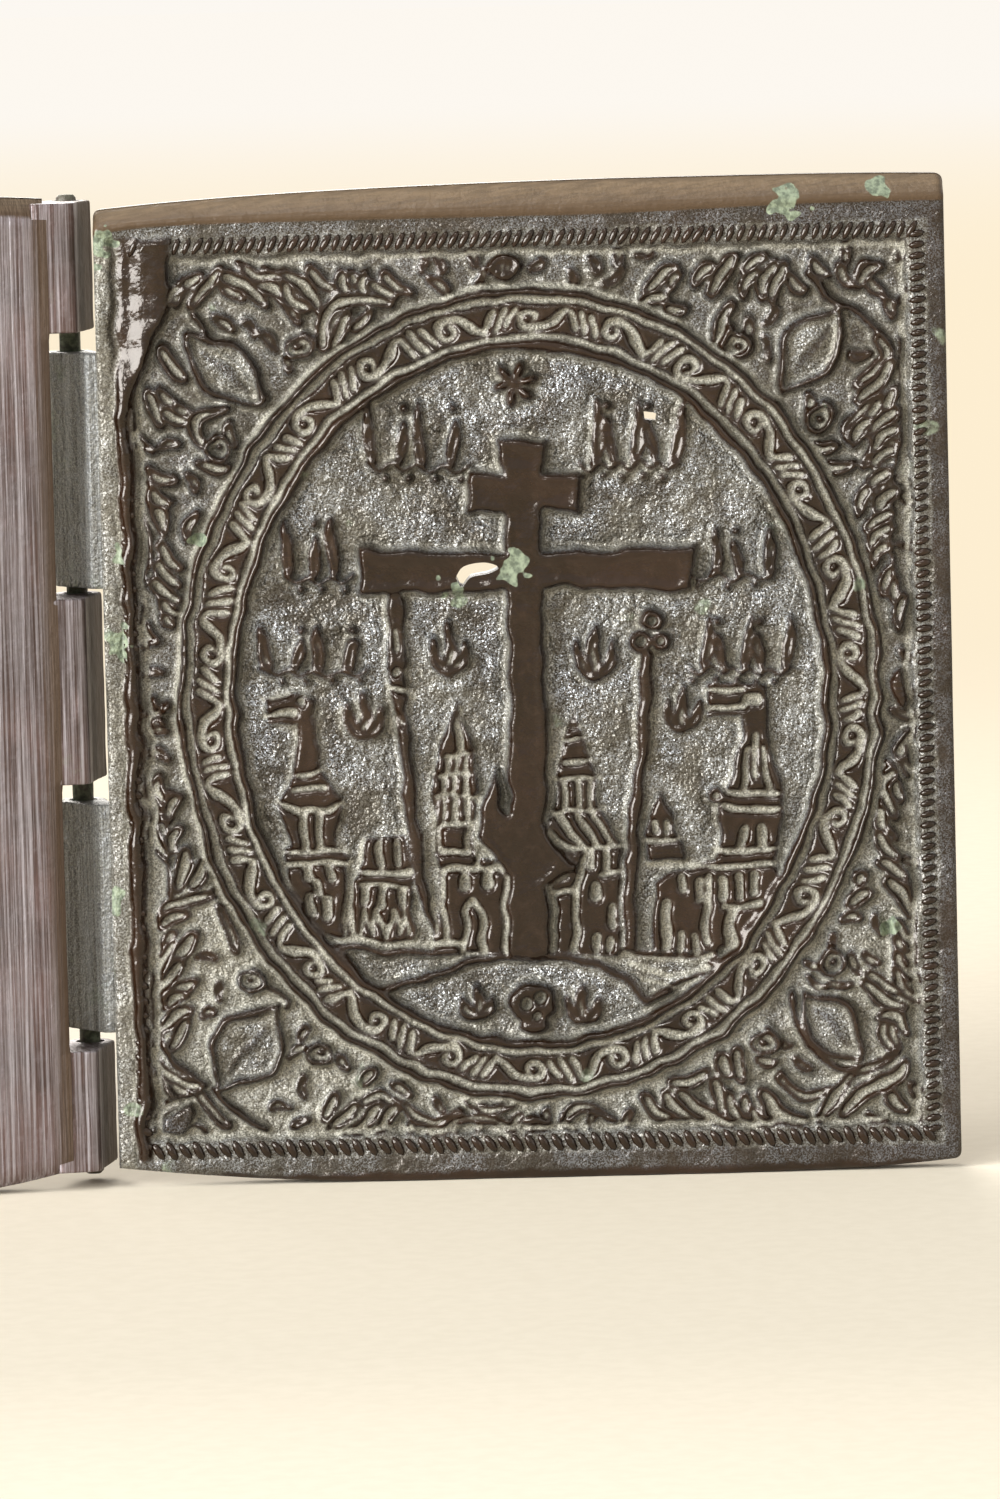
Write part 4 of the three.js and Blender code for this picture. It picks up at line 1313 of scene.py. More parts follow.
@dataclass
class MedallionRing:
    """The oval frame with its frieze of volutes and slanted bars.

    Each band says where it starts and ends inside the outer edge, its depth and its dust.
    """

    centre: Point = (27.6, 31.6)
    half: Point = (22.9, 26.5)
    bands: tuple[tuple[float, float, float, float], ...] = (
        (-0.30, 0.02, 1.08, 1.0),
        (0.02, 0.46, 0.34, 0.0),
        (0.46, 0.86, 0.94, 1.0),
        (0.86, 1.08, 0.42, 0.0),
        (1.08, 2.86, 0.56, 0.16),
        (2.86, 3.02, 0.46, 0.0),
        (3.02, 3.34, 0.96, 1.0),
        (3.34, 3.95, 0.28, 0.0),
    )
    units: int = 26
    start: Point = (260.0, 899.0)
    middle: float = 1.97

    def inward(self, a: np.ndarray, b: np.ndarray) -> np.ndarray:
        """Return how far places lie inside the ring's outer edge."""
        x, y = a - self.centre[0], b - self.centre[1]
        f = np.sqrt((x / self.half[0]) ** 2 + (y / self.half[1]) ** 2) + 1e-6
        slope = np.sqrt((x / self.half[0] ** 2) ** 2 + (y / self.half[1] ** 2) ** 2) / f + 1e-6
        return (1 - f) / slope

    def draw(self, canvas: ReliefCanvas, photo: PhotoPlace) -> None:
        """Draw the ring's ridges and grooves, then its frieze."""
        inward = self.inward(canvas.across, canvas.up)
        for low, high, depth, dust in self.bands:
            gap = np.maximum(low - inward, inward - high)
            canvas.settle(smooth(-gap / 0.12 + 0.5), depth, dust=dust, grain=0.0)
        for k, place in enumerate(self.stations(photo)):
            self.draw_unit(canvas, place, 1 if k % 2 else -1)

    def stations(self, photo: PhotoPlace) -> list[tuple[Point, Point]]:
        """Return the middle of each frieze unit and the way along the ring there."""
        turns = np.linspace(0, ROUND, 1441)
        hx, hy = self.half[0] - self.middle, self.half[1] - self.middle
        xs, ys = self.centre[0] + hx * np.cos(turns), self.centre[1] + hy * np.sin(turns)
        run = np.concatenate([[0], np.cumsum(np.hypot(np.diff(xs), np.diff(ys)))])
        at = photo.leaf(*self.start)
        first = run[np.argmin(np.hypot(xs - at[0], ys - at[1]))]
        made = []
        for k in range(self.units):
            where = (first + k * run[-1] / self.units) % run[-1]
            turn = float(np.interp(where, run, turns))
            x, y = self.centre[0] + hx * math.cos(turn), self.centre[1] + hy * math.sin(turn)
            along = (-hx * math.sin(turn), hy * math.cos(turn))
            size = math.hypot(*along)
            made.append(((x, y), (along[0] / size, along[1] / size)))
        return made

    def draw_unit(self, canvas: ReliefCanvas, place: tuple[Point, Point], side: int) -> None:
        """Cut one volute with its tail, and the slanted bars after it."""
        (x, y), (dx, dy) = place

        def spot(u: float, v: float) -> Point:
            """Return the place at u along the band and v across it."""
            base = (x + dx * u, y + dy * u)
            pull = self.middle - float(self.inward(np.array(base[0]), np.array(base[1])))
            v = v * side + pull
            return base[0] - dy * v, base[1] + dx * v

        turns = np.linspace(0.0, 1.12, 20)
        spiral = [
            spot((0.8 - 0.5 * t) * math.cos(2.4 - ROUND * t), (0.76 - 0.5 * t) * math.sin(2.4 - ROUND * t))
            for t in turns
        ]
        tail = [spot(-2.4, -0.78), spot(-2.0, -0.42), spot(-1.45, 0.1), spot(-1.0, 0.44)]
        line = curve_points([*tail, *spiral[1::2]], 4)
        widths = np.interp(np.linspace(0, 1, len(line)), [0, 0.1, 0.45, 0.75, 1], [0.26, 0.6, 0.54, 0.34, 0.3])
        canvas.groove(line, list(widths), LEVELS.groove, 0.13)
        for u, reach in ((1.36, 0.6), (2.04, 0.74), (2.72, 0.68)):
            bar = [spot(u - 0.36, -reach), spot(u - 0.06, 0.0), spot(u + 0.28, reach)]
            canvas.groove(curve_points(bar, 3), [0.3, 0.42, 0.47, 0.48, 0.45, 0.38, 0.26], LEVELS.groove, 0.13)


@dataclass
class CrossPanel:
    """What the medallion holds: the cross, the lance and reed, the walls and towers, the mound.

    All places are those seen in the photograph, and widths are in its pixels.
    """

    photo: PhotoPlace
    cross: tuple[Point, ...] = (
        (497, 440), (549, 441), (543, 475), (579, 472), (582, 513), (544, 510), (541, 551), (695, 545), (692, 590),
        (544, 588), (545, 700), (547, 832), (574, 868), (547, 884), (548, 952), (506, 952), (507, 876), (476, 836),
        (479, 803), (497, 768), (500, 806), (508, 812), (508, 700), (507, 591), (361, 594), (360, 549), (505, 552),
        (504, 512), (467, 514), (468, 473), (504, 475),
    )
    hole: tuple[Point, ...] = ((456, 577), (464, 566), (485, 562), (499, 567), (489, 573), (471, 577), (462, 587))
    pinhole: tuple[Point, ...] = ((644, 413), (657, 415), (656, 422), (645, 421))
    bodies: tuple[tuple[Point, ...], ...] = (
        ((299, 716), (313, 716), (322, 770), (342, 798), (334, 846), (350, 853), (345, 866), (343, 938), (305, 936),
         (284, 864), (280, 850), (289, 845), (277, 803), (293, 775)),
        ((368, 838), (404, 836), (412, 870), (412, 942), (345, 944), (350, 884), (358, 876)),
        ((456, 698), (474, 752), (478, 797), (472, 822), (472, 853), (510, 866), (508, 952), (438, 952), (440, 868),
         (433, 853), (434, 822), (430, 797), (438, 752)),
        ((572, 709), (590, 755), (599, 806), (622, 846), (618, 952), (546, 952), (550, 895), (543, 836), (552, 808),
         (556, 778), (564, 735)),
        ((660, 788), (678, 838), (684, 860), (646, 862), (643, 838)),
        ((746, 690), (764, 690), (770, 740), (784, 790), (780, 842), (776, 862), (782, 880), (745, 945), (650, 950),
         (652, 880), (690, 866), (714, 858), (720, 845), (717, 808), (728, 790), (740, 735)),
        ((262, 697), (298, 694), (313, 700), (310, 720), (266, 726)),
        ((705, 683), (765, 682), (765, 712), (706, 718)),
    )
    raised: tuple[tuple[tuple[Point, ...], float], ...] = (
        (((400, 690), (408, 780), (416, 860), (439, 944)), 13),
        (((396, 598), (397, 622), (397, 642), (397, 664)), 17),
        (((396, 662), (396, 676), (401, 700)), 15),
        (((648, 655), (640, 760), (631, 860), (628, 948)), 13),
        (((335, 946), (400, 951), (465, 950)), 7),
        (((590, 950), (660, 953), (716, 950)), 7),
        (((340, 952), (374, 990), (408, 984), (440, 972), (473, 960), (507, 955), (545, 955), (583, 959), (615, 972),
          (646, 1000)), 9),
        (((646, 1000), (690, 975), (716, 955)), 8),
    )
    bosses: tuple[tuple[float, float, float, float], ...] = (
        (652, 619, 12, 12), (641, 641, 11, 11), (662, 641, 11, 11), (715, 796, 9, 9), (530, 1003, 25, 21),
        (533, 1026, 14, 11),
    )
    grooves: tuple[tuple[tuple[Point, ...], float], ...] = (
        (((366, 840), (350, 884), (351, 938)), 6),
        (((380, 842), (380, 863)), 6), (((395, 841), (396, 863)), 6),
        (((362, 872), (408, 870)), 6), (((358, 886), (406, 885)), 5),
        (((364, 890), (364, 903)), 8), (((382, 890), (382, 905)), 8), (((403, 890), (403, 905)), 8),
        (((358, 936), (365, 911), (371, 934)), 5), (((371, 934), (378, 909), (385, 936)), 5),
        (((385, 936), (392, 909), (399, 934)), 5), (((399, 934), (404, 910), (408, 937)), 5),
        (((336, 940), (400, 944), (466, 942)), 6),
        (((262, 699), (287, 697)), 5), (((264, 717), (295, 713)), 6),
        (((297, 773), (320, 769)), 5), (((292, 789), (326, 787)), 5),
        (((278, 802), (300, 812), (325, 811), (339, 802)), 6),
        (((304, 816), (305, 848)), 7), (((318, 816), (318, 847)), 7),
        (((281, 853), (349, 850)), 5), (((286, 865), (350, 861)), 6),
        (((307, 868), (309, 878)), 8), (((328, 866), (330, 877)), 8), (((316, 882), (318, 893)), 8),
        (((310, 898), (313, 910)), 8), (((326, 898), (328, 914)), 9),
        (((458, 708), (458, 730), (459, 752)), 9),
        (((444, 757), (472, 756)), 5), (((438, 777), (470, 775)), 5), (((432, 797), (476, 795)), 5),
        (((448, 762), (448, 771)), 7), (((458, 761), (458, 771)), 7), (((467, 762), (467, 771)), 6),
        (((444, 781), (444, 792)), 7), (((455, 781), (455, 792)), 7), (((466, 781), (466, 792)), 7),
        (((436, 801), (432, 817)), 8), (((446, 801), (442, 820)), 8), (((457, 801), (453, 820)), 8),
        (((467, 801), (464, 820)), 8),
        (((437, 827), (468, 826), (467, 851), (437, 851), (437, 827)), 6),
        (((443, 938), (443, 868), (481, 867)), 6),
        (((475, 854), (475, 866), (507, 867), (505, 950)), 6),
        (((464, 876), (464, 888)), 10), (((487, 872), (487, 884)), 9),
        (((466, 950), (466, 912), (473, 902), (482, 912), (482, 950)), 6),
        (((475, 799), (492, 808), (509, 818)), 5), (((432, 888), (434, 936)), 6),
        (((572, 714), (572, 724)), 4), (((566, 728), (579, 727)), 4), (((564, 740), (582, 738)), 4),
        (((563, 761), (589, 759)), 5), (((557, 780), (597, 778)), 5), (((554, 811), (605, 808)), 5),
        (((562, 785), (562, 804)), 7), (((576, 785), (577, 804)), 7), (((589, 784), (590, 803)), 7),
        (((559, 816), (579, 843)), 7), (((576, 816), (596, 842)), 7), (((591, 815), (612, 841)), 7),
        (((544, 831), (571, 846), (619, 845)), 5), (((581, 849), (576, 895), (573, 948)), 6),
        (((589, 852), (588, 866)), 8), (((606, 852), (606, 866)), 8), (((596, 886), (594, 898)), 8),
        (((610, 907), (610, 923)), 8), (((595, 936), (595, 948)), 8), (((607, 938), (607, 949)), 8),
        (((600, 873), (617, 873)), 5), (((552, 948), (552, 893), (572, 890)), 5),
        (((654, 822), (654, 832)), 6), (((665, 822), (665, 832)), 6), (((646, 840), (678, 839)), 5),
        (((706, 691), (743, 688)), 5), (((708, 709), (743, 704)), 6), (((745, 698), (756, 698)), 10),
        (((754, 734), (754, 774)), 7), (((746, 748), (743, 790)), 6), (((763, 746), (769, 790)), 6),
        (((729, 794), (780, 793)), 5), (((723, 806), (778, 808)), 6),
        (((741, 828), (741, 842)), 10), (((761, 827), (761, 841)), 10),
        (((714, 846), (745, 850), (776, 845)), 6), (((646, 866), (710, 866), (774, 861)), 6),
        (((682, 876), (682, 886)), 8), (((698, 880), (698, 898)), 8), (((707, 876), (706, 938)), 8),
        (((720, 878), (720, 896)), 9), (((736, 876), (736, 893)), 9), (((752, 873), (752, 890)), 9),
        (((722, 905), (758, 902)), 6), (((730, 907), (729, 942)), 9), (((663, 904), (664, 946)), 11),
        (((678, 934), (678, 948)), 8), (((694, 935), (694, 948)), 8),
        (((621, 953), (666, 956), (711, 952)), 6), (((629, 964), (668, 975), (705, 964)), 6),
        (((640, 978), (672, 986), (695, 976)), 5),
        (((400, 716), (402, 724)), 5), (((388, 684), (416, 698)), 5), (((396, 627), (397, 649)), 5),
    )
    dots: tuple[tuple[float, float, float], ...] = (
        (652, 619, 4), (642, 641, 4), (661, 640, 4), (525, 1002, 5), (541, 997, 5), (536, 1014, 3), (715, 796, 5),
        (300, 702, 4), (396, 670, 4),
    )
    sprigs: tuple[tuple[float, float, float, float, int], ...] = (
        (412, 442, 88, 62, 1), (634, 440, 96, 62, -1), (313, 556, 52, 56, 1), (740, 557, 60, 46, -1),
        (308, 654, 92, 44, 1), (744, 648, 96, 52, -1), (448, 652, 34, 44, 1), (594, 652, 38, 46, -1),
        (363, 716, 38, 38, 1), (683, 709, 32, 36, -1), (474, 1005, 30, 28, 1), (581, 1004, 32, 34, -1),
    )

    def draw(self, canvas: ReliefCanvas) -> None:
        """Raise each form, then cut its windows, bands and bars."""
        width = self.photo.pixels_per_mm
        for body in self.bodies:
            canvas.area(self.photo.line(body), LEVELS.building, 0.2, **CLEAN)
        for points, size in self.raised:
            line = curve_points(self.photo.line(points))
            canvas.ridge(line, size / width, LEVELS.building - 0.08, 0.2)
        for x, y, rx, ry in self.bosses:
            at = self.photo.leaf(x, y)
            canvas.knob(*at, rx / width, ry / width, 0.25, 0.6, 0.6)
        for points, size in self.grooves:
            canvas.groove(self.photo.line(points), size / width, LEVELS.groove, 0.14)
        for x, y, size in self.dots:
            at = self.photo.leaf(x, y)
            canvas.area(canvas.oval(*at, size / width, size / width), LEVELS.groove, 0.14, False, dust=1.0)
        for sprig in self.sprigs:
            self.draw_sprig(canvas, *sprig)
        self.draw_rosette(canvas)
        cross = self.photo.line(self.cross)
        canvas.area(cross, LEVELS.top, 0.22, **CLEAN)

    def draw_sprig(self, canvas: ReliefCanvas, x: float, y: float, wide: float, tall: float, side: int) -> None:
        """Raise a small spray of leaves round a bud.

        Args:
            canvas: The field that takes it.
            x: Its middle across the photograph.
            y: Its middle down the photograph.
            wide: Its width there.
            tall: Its height there.
            side: Which way it leans, 1 or -1.
        """
        size, tall = 0.5, 1.22 * tall

        def spot(u: float, v: float) -> Point:
            """Return the place at shares of the spray's half sizes."""
            return self.photo.leaf(x + side * u * wide / 2, y - v * tall / 2)

        def leaf(base: Point, middle: Point, tip: Point) -> None:
            """Raise one pointed leaf with a vein."""
            line = curve_points([spot(*base), spot(*middle), spot(*tip)])
            swell = np.sin(math.pi * np.linspace(0.12, 0.97, len(line))) ** 0.8
            canvas.ridge(line, list(size * (0.3 + 1.5 * swell)), LEVELS.building, 0.16)
            canvas.groove(line[2:-3], 0.13, LEVELS.groove, 0.1, 0.8)

        if wide < 50:
            for lean in (-1, 1):
                leaf((0.0, -0.85), (0.7 * lean, -0.4), (0.95 * lean, 0.4))
            leaf((0.0, -0.75), (0.1, 0.05), (0.0, 1.0))
            return
        count = max(3, int(round(wide / 21)))
        pitch = 1.72 / (count - 1)
        vine = [spot(-1.0 + pitch * k / 2, -0.72 + 0.1 * (-1) ** k) for k in range(2 * count + 1)]
        canvas.ridge(curve_points(vine, 3), size * 0.55, LEVELS.building, 0.16)
        for k in range(count):
            u, lean = -0.86 + k * pitch, 0.1 if k % 2 else -0.1
            leaf((u, -0.66), (u + lean, 0.0), (u + 1.4 * lean, 0.5 if k % 2 else 0.98))
            canvas.knob(*spot(u + 0.5 * pitch, -1.0), 0.22, 0.22, 0.4, 0.7, 0.22)
            if k % 2:
                canvas.knob(*spot(u + 0.12, 0.86), 0.26, 0.26, 0.4, 0.7, 0.26)

    def draw_rosette(self, canvas: ReliefCanvas) -> None:
        """Raise the small flower above the cross."""
        x, y = self.photo.leaf(516, 385)
        for k in range(6):
            turn = math.pi * k / 3 + 0.3
            petal = canvas.oval(x + 0.92 * math.cos(turn), y + 0.92 * math.sin(turn), 0.62, 0.36, turn)
            canvas.dome(petal, 0.3, 0.6, 0.3, **CLEAN)
        canvas.knob(x, y, 0.36, 0.36, 0.35, 0.5, 0.3)


@dataclass
class CornerFoliage:
    """The leaves, buds and curls between the medallion and the rope.

    Each of the looks is one enlargement of the photograph: its corner, its zoom, and its leaves with their widths.
    """

    photo: PhotoPlace
    filler_pitch: float = 1.25
    looks: tuple[tuple[Point, float, tuple[tuple[tuple[Point, ...], float], ...]], ...] = (
        ((120, 780), 4.127, (
            (((215, 60), (165, 150)), 30), (((228, 95), (195, 175)), 28), (((245, 205), (215, 315)), 34),
            (((275, 290), (262, 360), (232, 445)), 46), (((345, 345), (320, 400), (285, 440)), 60),
            (((135, 205), (150, 260), (185, 330)), 34), (((400, 462), (300, 492), (205, 520), (160, 600)), 34),
            (((268, 555), (210, 575), (160, 605)), 40), (((222, 640), (190, 670), (150, 722)), 36),
            (((300, 640), (270, 700), (215, 765)), 46), (((218, 690), (160, 805)), 34),
            (((243, 760), (205, 820), (158, 885)), 46), (((295, 840), (240, 880), (168, 950)), 50),
            (((266, 890), (190, 945)), 30), (((272, 960), (220, 980), (168, 1045)), 40),
            (((262, 1000), (240, 1050), (210, 1115)), 42), (((115, 1090), (150, 1180), (240, 1250), (330, 1275)), 40),
            (((220, 1270), (290, 1300)), 30), (((330, 1310), (380, 1400), (440, 1440)), 34),
            (((885, 1300), (868, 1350), (835, 1405)), 46), (((965, 1350), (920, 1400), (860, 1450)), 40),
            (((1065, 1350), (1010, 1420), (940, 1470)), 44), (((1135, 1330), (1110, 1400), (1060, 1465)), 44),
            (((1000, 1340), (1060, 1300), (1120, 1340)), 34), (((1040, 1210), (990, 1250)), 40),
            (((1190, 1290), (1120, 1260)), 36), (((415, 520), (440, 600), (480, 700)), 34),
            (((905, 1140), (925, 1195)), 30), (((760, 1400), (720, 1450)), 26),
        )),
        ((640, 780), 4.126, (
            (((985, 60), (1050, 140)), 34), (((985, 150), (1047, 222)), 34), (((992, 240), (1052, 312)), 34),
            (((985, 332), (1030, 350), (1078, 392)), 44), (((1025, 402), (1080, 470), (1110, 550)), 52),
            (((942, 450), (905, 465), (860, 500)), 46), (((900, 552), (835, 570)), 40),
            (((1055, 580), (1128, 652)), 38), (((1050, 640), (1133, 722)), 40), (((1060, 700), (1142, 802)), 42),
            (((1050, 762), (1133, 902)), 40), (((950, 790), (1062, 862)), 40), (((930, 832), (1082, 935)), 42),
            (((990, 962), (1060, 970), (1102, 1032)), 40), (((1042, 1000), (1062, 1092)), 34),
            (((1008, 990), (1022, 1100)), 34), (((390, 1100), (412, 1222)), 50), (((332, 1130), (352, 1202)), 46),
            (((570, 1210), (660, 1290), (792, 1262)), 40), (((500, 1270), (560, 1375), (672, 1392)), 56),
            (((300, 1232), (325, 1340), (368, 1412)), 50), (((350, 1282), (422, 1392)), 36),
            (((425, 1290), (475, 1392)), 42), (((460, 1350), (542, 1415)), 30),
            (((160, 1290), (250, 1370), (372, 1412)), 50), (((95, 1290), (222, 1392)), 44),
            (((15, 1310), (140, 1392)), 44), (((120, 1242), (270, 1190)), 46),
            (((830, 1362), (930, 1270), (1050, 1215), (1092, 1150)), 58), (((1035, 1290), (1095, 1342)), 44),
            (((735, 1392), (800, 1290), (872, 1200)), 40), (((900, 1190), (980, 1160), (1050, 1110)), 30),
            (((930, 380), (895, 420)), 34), (((1110, 1250), (1160, 1300), (1150, 1380)), 40),
        )),
        ((120, 230), 5.227, (
            (((412, 242), (310, 402)), 50), (((525, 228), (450, 310), (390, 402)), 56),
            (((540, 272), (652, 362)), 42), (((560, 262), (680, 310), (772, 402)), 54),
            (((700, 270), (850, 350), (942, 482)), 56), (((860, 240), (970, 290), (1032, 422)), 56),
            (((870, 300), (980, 422)), 50), (((1010, 222), (1132, 332)), 46), (((1160, 242), (1200, 342)), 44),
            (((1210, 232), (1262, 302)), 36), (((1290, 240), (1300, 352)), 40), (((1340, 282), (1452, 372)), 44),
            (((1400, 242), (1532, 342)), 44), (((640, 200), (842, 252)), 40),
            (((1080, 622), (1062, 500), (1125, 415), (1260, 372), (1420, 410)), 52),
            (((1130, 612), (1160, 520), (1212, 442)), 44), (((1230, 522), (1312, 442)), 50),
            (((160, 862), (185, 940), (222, 1022)), 46), (((222, 852), (312, 922)), 42),
            (((250, 962), (300, 1000), (362, 1012)), 44), (((320, 932), (372, 962)), 36),
            (((430, 1232), (572, 1242)), 44), (((50, 882), (80, 1060), (190, 1162)), 50),
            (((170, 1272), (300, 1322)), 46), (((440, 1130), (400, 1060), (420, 980), (560, 950)), 44),
            (((560, 1040), (630, 1130)), 40), (((330, 310), (250, 430)), 34), (((240, 640), (350, 780)), 60),
        )),
        ((640, 230), 5.227, (
            (((190, 212), (110, 260), (40, 342)), 60), (((212, 242), (160, 322)), 40), (((380, 202), (300, 302)), 50),
            (((490, 152), (425, 260), (370, 352)), 54), (((612, 232), (540, 362)), 50), (((700, 192), (640, 372)), 50),
            (((762, 202), (700, 290), (690, 382)), 46), (((640, 152), (540, 232)), 40), (((130, 372), (0, 430)), 54),
            (((150, 422), (232, 432)), 50), (((1240, 582), (1290, 660), (1230, 740), (1130, 822)), 52),
            (((1312, 702), (1260, 790), (1130, 902)), 56), (((1262, 872), (1130, 1000), (1080, 1102)), 56),
            (((1332, 852), (1250, 1000), (1160, 1092)), 50), (((1342, 972), (1220, 1152)), 46),
            (((1332, 1052), (1200, 1202)), 46), (((1332, 1132), (1160, 1252)), 50), (((1300, 1272), (1250, 1402)), 46),
            (((1212, 202), (1140, 242)), 44), (((1262, 210), (1140, 312)), 46), (((1290, 380), (1320, 460)), 40),
            (((900, 180), (990, 250)), 44), (((1060, 210), (1100, 300)), 44),
            (((400, 600), (430, 480), (480, 410)), 44),
            (((1200, 300), (1270, 360)), 50), (((900, 1130), (1020, 1140)), 40), (((960, 1230), (1100, 1240)), 40),
            (((780, 250), (860, 330)), 40),
        )),
        ((0, 480), 4.48, (
            (((880, 165), (850, 262)), 36), (((665, 40), (720, 130), (745, 235)), 56), (((730, 292), (822, 392)), 50),
            (((718, 382), (802, 472)), 50), (((712, 472), (802, 542)), 44), (((728, 542), (802, 602)), 44),
            (((740, 602), (782, 652)), 38), (((662, 642), (712, 722)), 40), (((632, 662), (605, 732), (612, 802)), 48),
            (((640, 652), (662, 752)), 30), (((720, 1342), (722, 1452)), 40), (((792, 1422), (748, 1522)), 40),
            (((690, 60), (760, 110)), 40), (((612, 1270), (640, 1400), (690, 1540)), 40),
        )),
        ((840, 330), 3.4875, (
            (((150, 240), (110, 300), (60, 340)), 30), (((190, 215), (165, 300)), 28), (((190, 290), (110, 400)), 34),
            (((190, 350), (115, 440)), 32), (((185, 430), (110, 480)), 30), (((175, 490), (75, 620)), 34),
            (((185, 560), (125, 640)), 32), (((170, 640), (95, 700)), 36), (((170, 690), (105, 765)), 36),
            (((165, 760), (112, 820)), 32), (((175, 840), (150, 920)), 34), (((190, 870), (180, 950)), 26),
            (((212, 930), (205, 1030)), 24), (((245, 1390), (212, 1450), (225, 1530)), 44),
            (((160, 1510), (130, 1560)), 40), (((100, 330), (40, 400)), 34), (((90, 560), (60, 640)), 34),
        )),
        ((840, 760), 3.4875, (
            (((165, 35), (135, 100), (185, 180)), 40), (((185, 70), (205, 130)), 30), (((215, 0), (240, 40)), 30),
            (((130, 170), (160, 250)), 36), (((135, 250), (195, 330)), 38),
        )),
    )
    buds: tuple[tuple[Point, float, Point, Point, float], ...] = (
        ((120, 780), 4.127, (645, 940), (395, 1285), 118.0),
        ((640, 780), 4.126, (668, 870), (905, 1145), 88.0),
        ((120, 230), 5.227, (350, 560), (765, 925), 112.0),
        ((640, 230), 5.227, (1045, 420), (745, 860), 112.0),
    )
    curls: tuple[tuple[float, float, float, int], ...] = (
        (249, 981, 14, 1), (320, 1055, 13, -1), (832, 959, 15, -1), (761, 1040, 14, 1), (302, 349, 15, 1),
        (736, 345, 15, -1), (818, 421, 15, 1), (220, 450, 13, -1),
    )
    stems: tuple[tuple[tuple[Point, ...], float], ...] = (
        (((285, 1010), (284, 1000), (262, 985), (246, 995)), 6),
        (((152, 980), (155, 1022), (165, 1052), (184, 1072), (203, 1088)), 8),
        (((212, 1092), (236, 1116), (262, 1132)), 8),
        (((790, 993), (796, 1024), (812, 1048), (838, 1064), (860, 1064)), 8),
        (((148, 818), (166, 828), (168, 870), (170, 896)), 6), (((880, 862), (906, 880), (914, 920), (916, 960)), 8),
        (((810, 270), (830, 300), (860, 318), (888, 345)), 7), (((806, 276), (826, 300)), 7),
        (((196, 318), (208, 335), (240, 362), (268, 400)), 7), (((262, 265), (300, 290), (328, 330)), 6),
        (((900, 340), (902, 420), (890, 520), (896, 600)), 5), (((143, 500), (152, 560), (136, 660)), 5),
    )

    def draw(self, canvas: ReliefCanvas) -> None:
        """Draw every leaf, bud, curl and stem."""
        scale = self.photo.pixels_per_mm
        for points, size in self.stems:
            line = curve_points(self.photo.line(points))
            canvas.ridge(line, size / scale, LEVELS.leaf, 0.2)
        for corner, zoom, start, end, wide in self.buds:
            self.draw_bud(canvas, CloseLook(self.photo, corner, zoom), start, end, wide / zoom / scale)
        for corner, zoom, leaves in self.looks:
            look = CloseLook(self.photo, corner, zoom)
            for points, size in leaves:
                canvas.gouge(look.line(points), 0.9 * size / zoom / scale)
        self.fill_gaps(canvas)
        for x, y, size, side in self.curls:
            self.draw_curl(canvas, self.photo.leaf(x, y), size / scale, side)
        self.draw_side_ornaments(canvas)

    def fill_gaps(self, canvas: ReliefCanvas) -> None:
        """Lay small leaves wherever the ground is still bare, pointing away from the medallion."""
        ring, chance = MedallionRing(), np.random.default_rng(SEED + 11)
        for b in np.arange(3.6, 60.6, self.filler_pitch):
            for a in np.arange(3.4, 52.4, self.filler_pitch):
                x, y = a + chance.uniform(-0.35, 0.35), b + chance.uniform(-0.35, 0.35)
                if ring.inward(np.array(x), np.array(y)) > -0.75:
                    continue
                part, _, _ = canvas.window([(x, y)], 0.5)
                if canvas.depth[part].min() < 1.0:
                    continue
                turn = math.atan2(y - ring.centre[1], x - ring.centre[0]) + chance.uniform(-0.9, 0.9)
                reach = chance.uniform(0.45, 0.75)
                dx, dy = reach * math.cos(turn), reach * math.sin(turn)
                canvas.gouge([(x - dx, y - dy), (x + dx, y + dy)], chance.uniform(0.3, 0.42), 0.18, 0.55)

    def draw_bud(self, canvas: ReliefCanvas, look: CloseLook, start: Point, end: Point, half: float) -> None:
        """Raise a pointed bud: two lips round a rough swelling."""
        (ax, ay), (bx, by) = look.line((start, end))
        mx, my = (ax + bx) / 2, (ay + by) / 2
        nx, ny = -(by - ay), bx - ax
        size = math.hypot(nx, ny)
        nx, ny = nx / size * half * 1.25, ny / size * half * 1.25
        sides = [curve_points([(ax, ay), (mx + s * nx, my + s * ny), (bx, by)], 8) for s in (1, -1)]
        outline = sides[0] + sides[1][::-1][1:-1]
        canvas.dome(outline, 0.86, 1.1, 0.9, grain=0.9, dust=0.3)
        for line in sides:
            widths = list(0.22 + 0.26 * np.sin(np.linspace(0.3, math.pi - 0.2, len(line))))
            canvas.ridge(line, widths, 0.3, 0.22)
        vein = [(mx + (x - mx) * 0.55, my + (y - my) * 0.55) for x, y in ((ax, ay), (bx, by))]
        canvas.stroke([vein[0], (mx + 0.1, my), vein[1]], [0.2, 0.5, 0.2], 0.7, 0.3, True, dust=0.1, grain=0.4)

    def draw_curl(self, canvas: ReliefCanvas, at: Point, radius: float, side: int) -> None:
        """Raise a curl that winds round a small knob."""
        turns = np.linspace(0.0, 1.15, 18)
        line = [
            (
                at[0] + side * radius * (0.62 + 0.36 * t) * math.cos(ROUND * t + 0.4),
                at[1] + radius * (0.62 + 0.36 * t) * math.sin(ROUND * t + 0.4),
            )
            for t in turns
        ]
        canvas.ridge(line, 0.34, 0.22, 0.18)
        groove = [(at[0] + (x - at[0]) * 0.62, at[1] + (y - at[1]) * 0.62) for x, y in line]
        canvas.groove(groove, 0.2, 0.7, 0.12)
        canvas.knob(*at, 0.3 * radius, 0.3 * radius, 0.26, 0.6, 0.25)

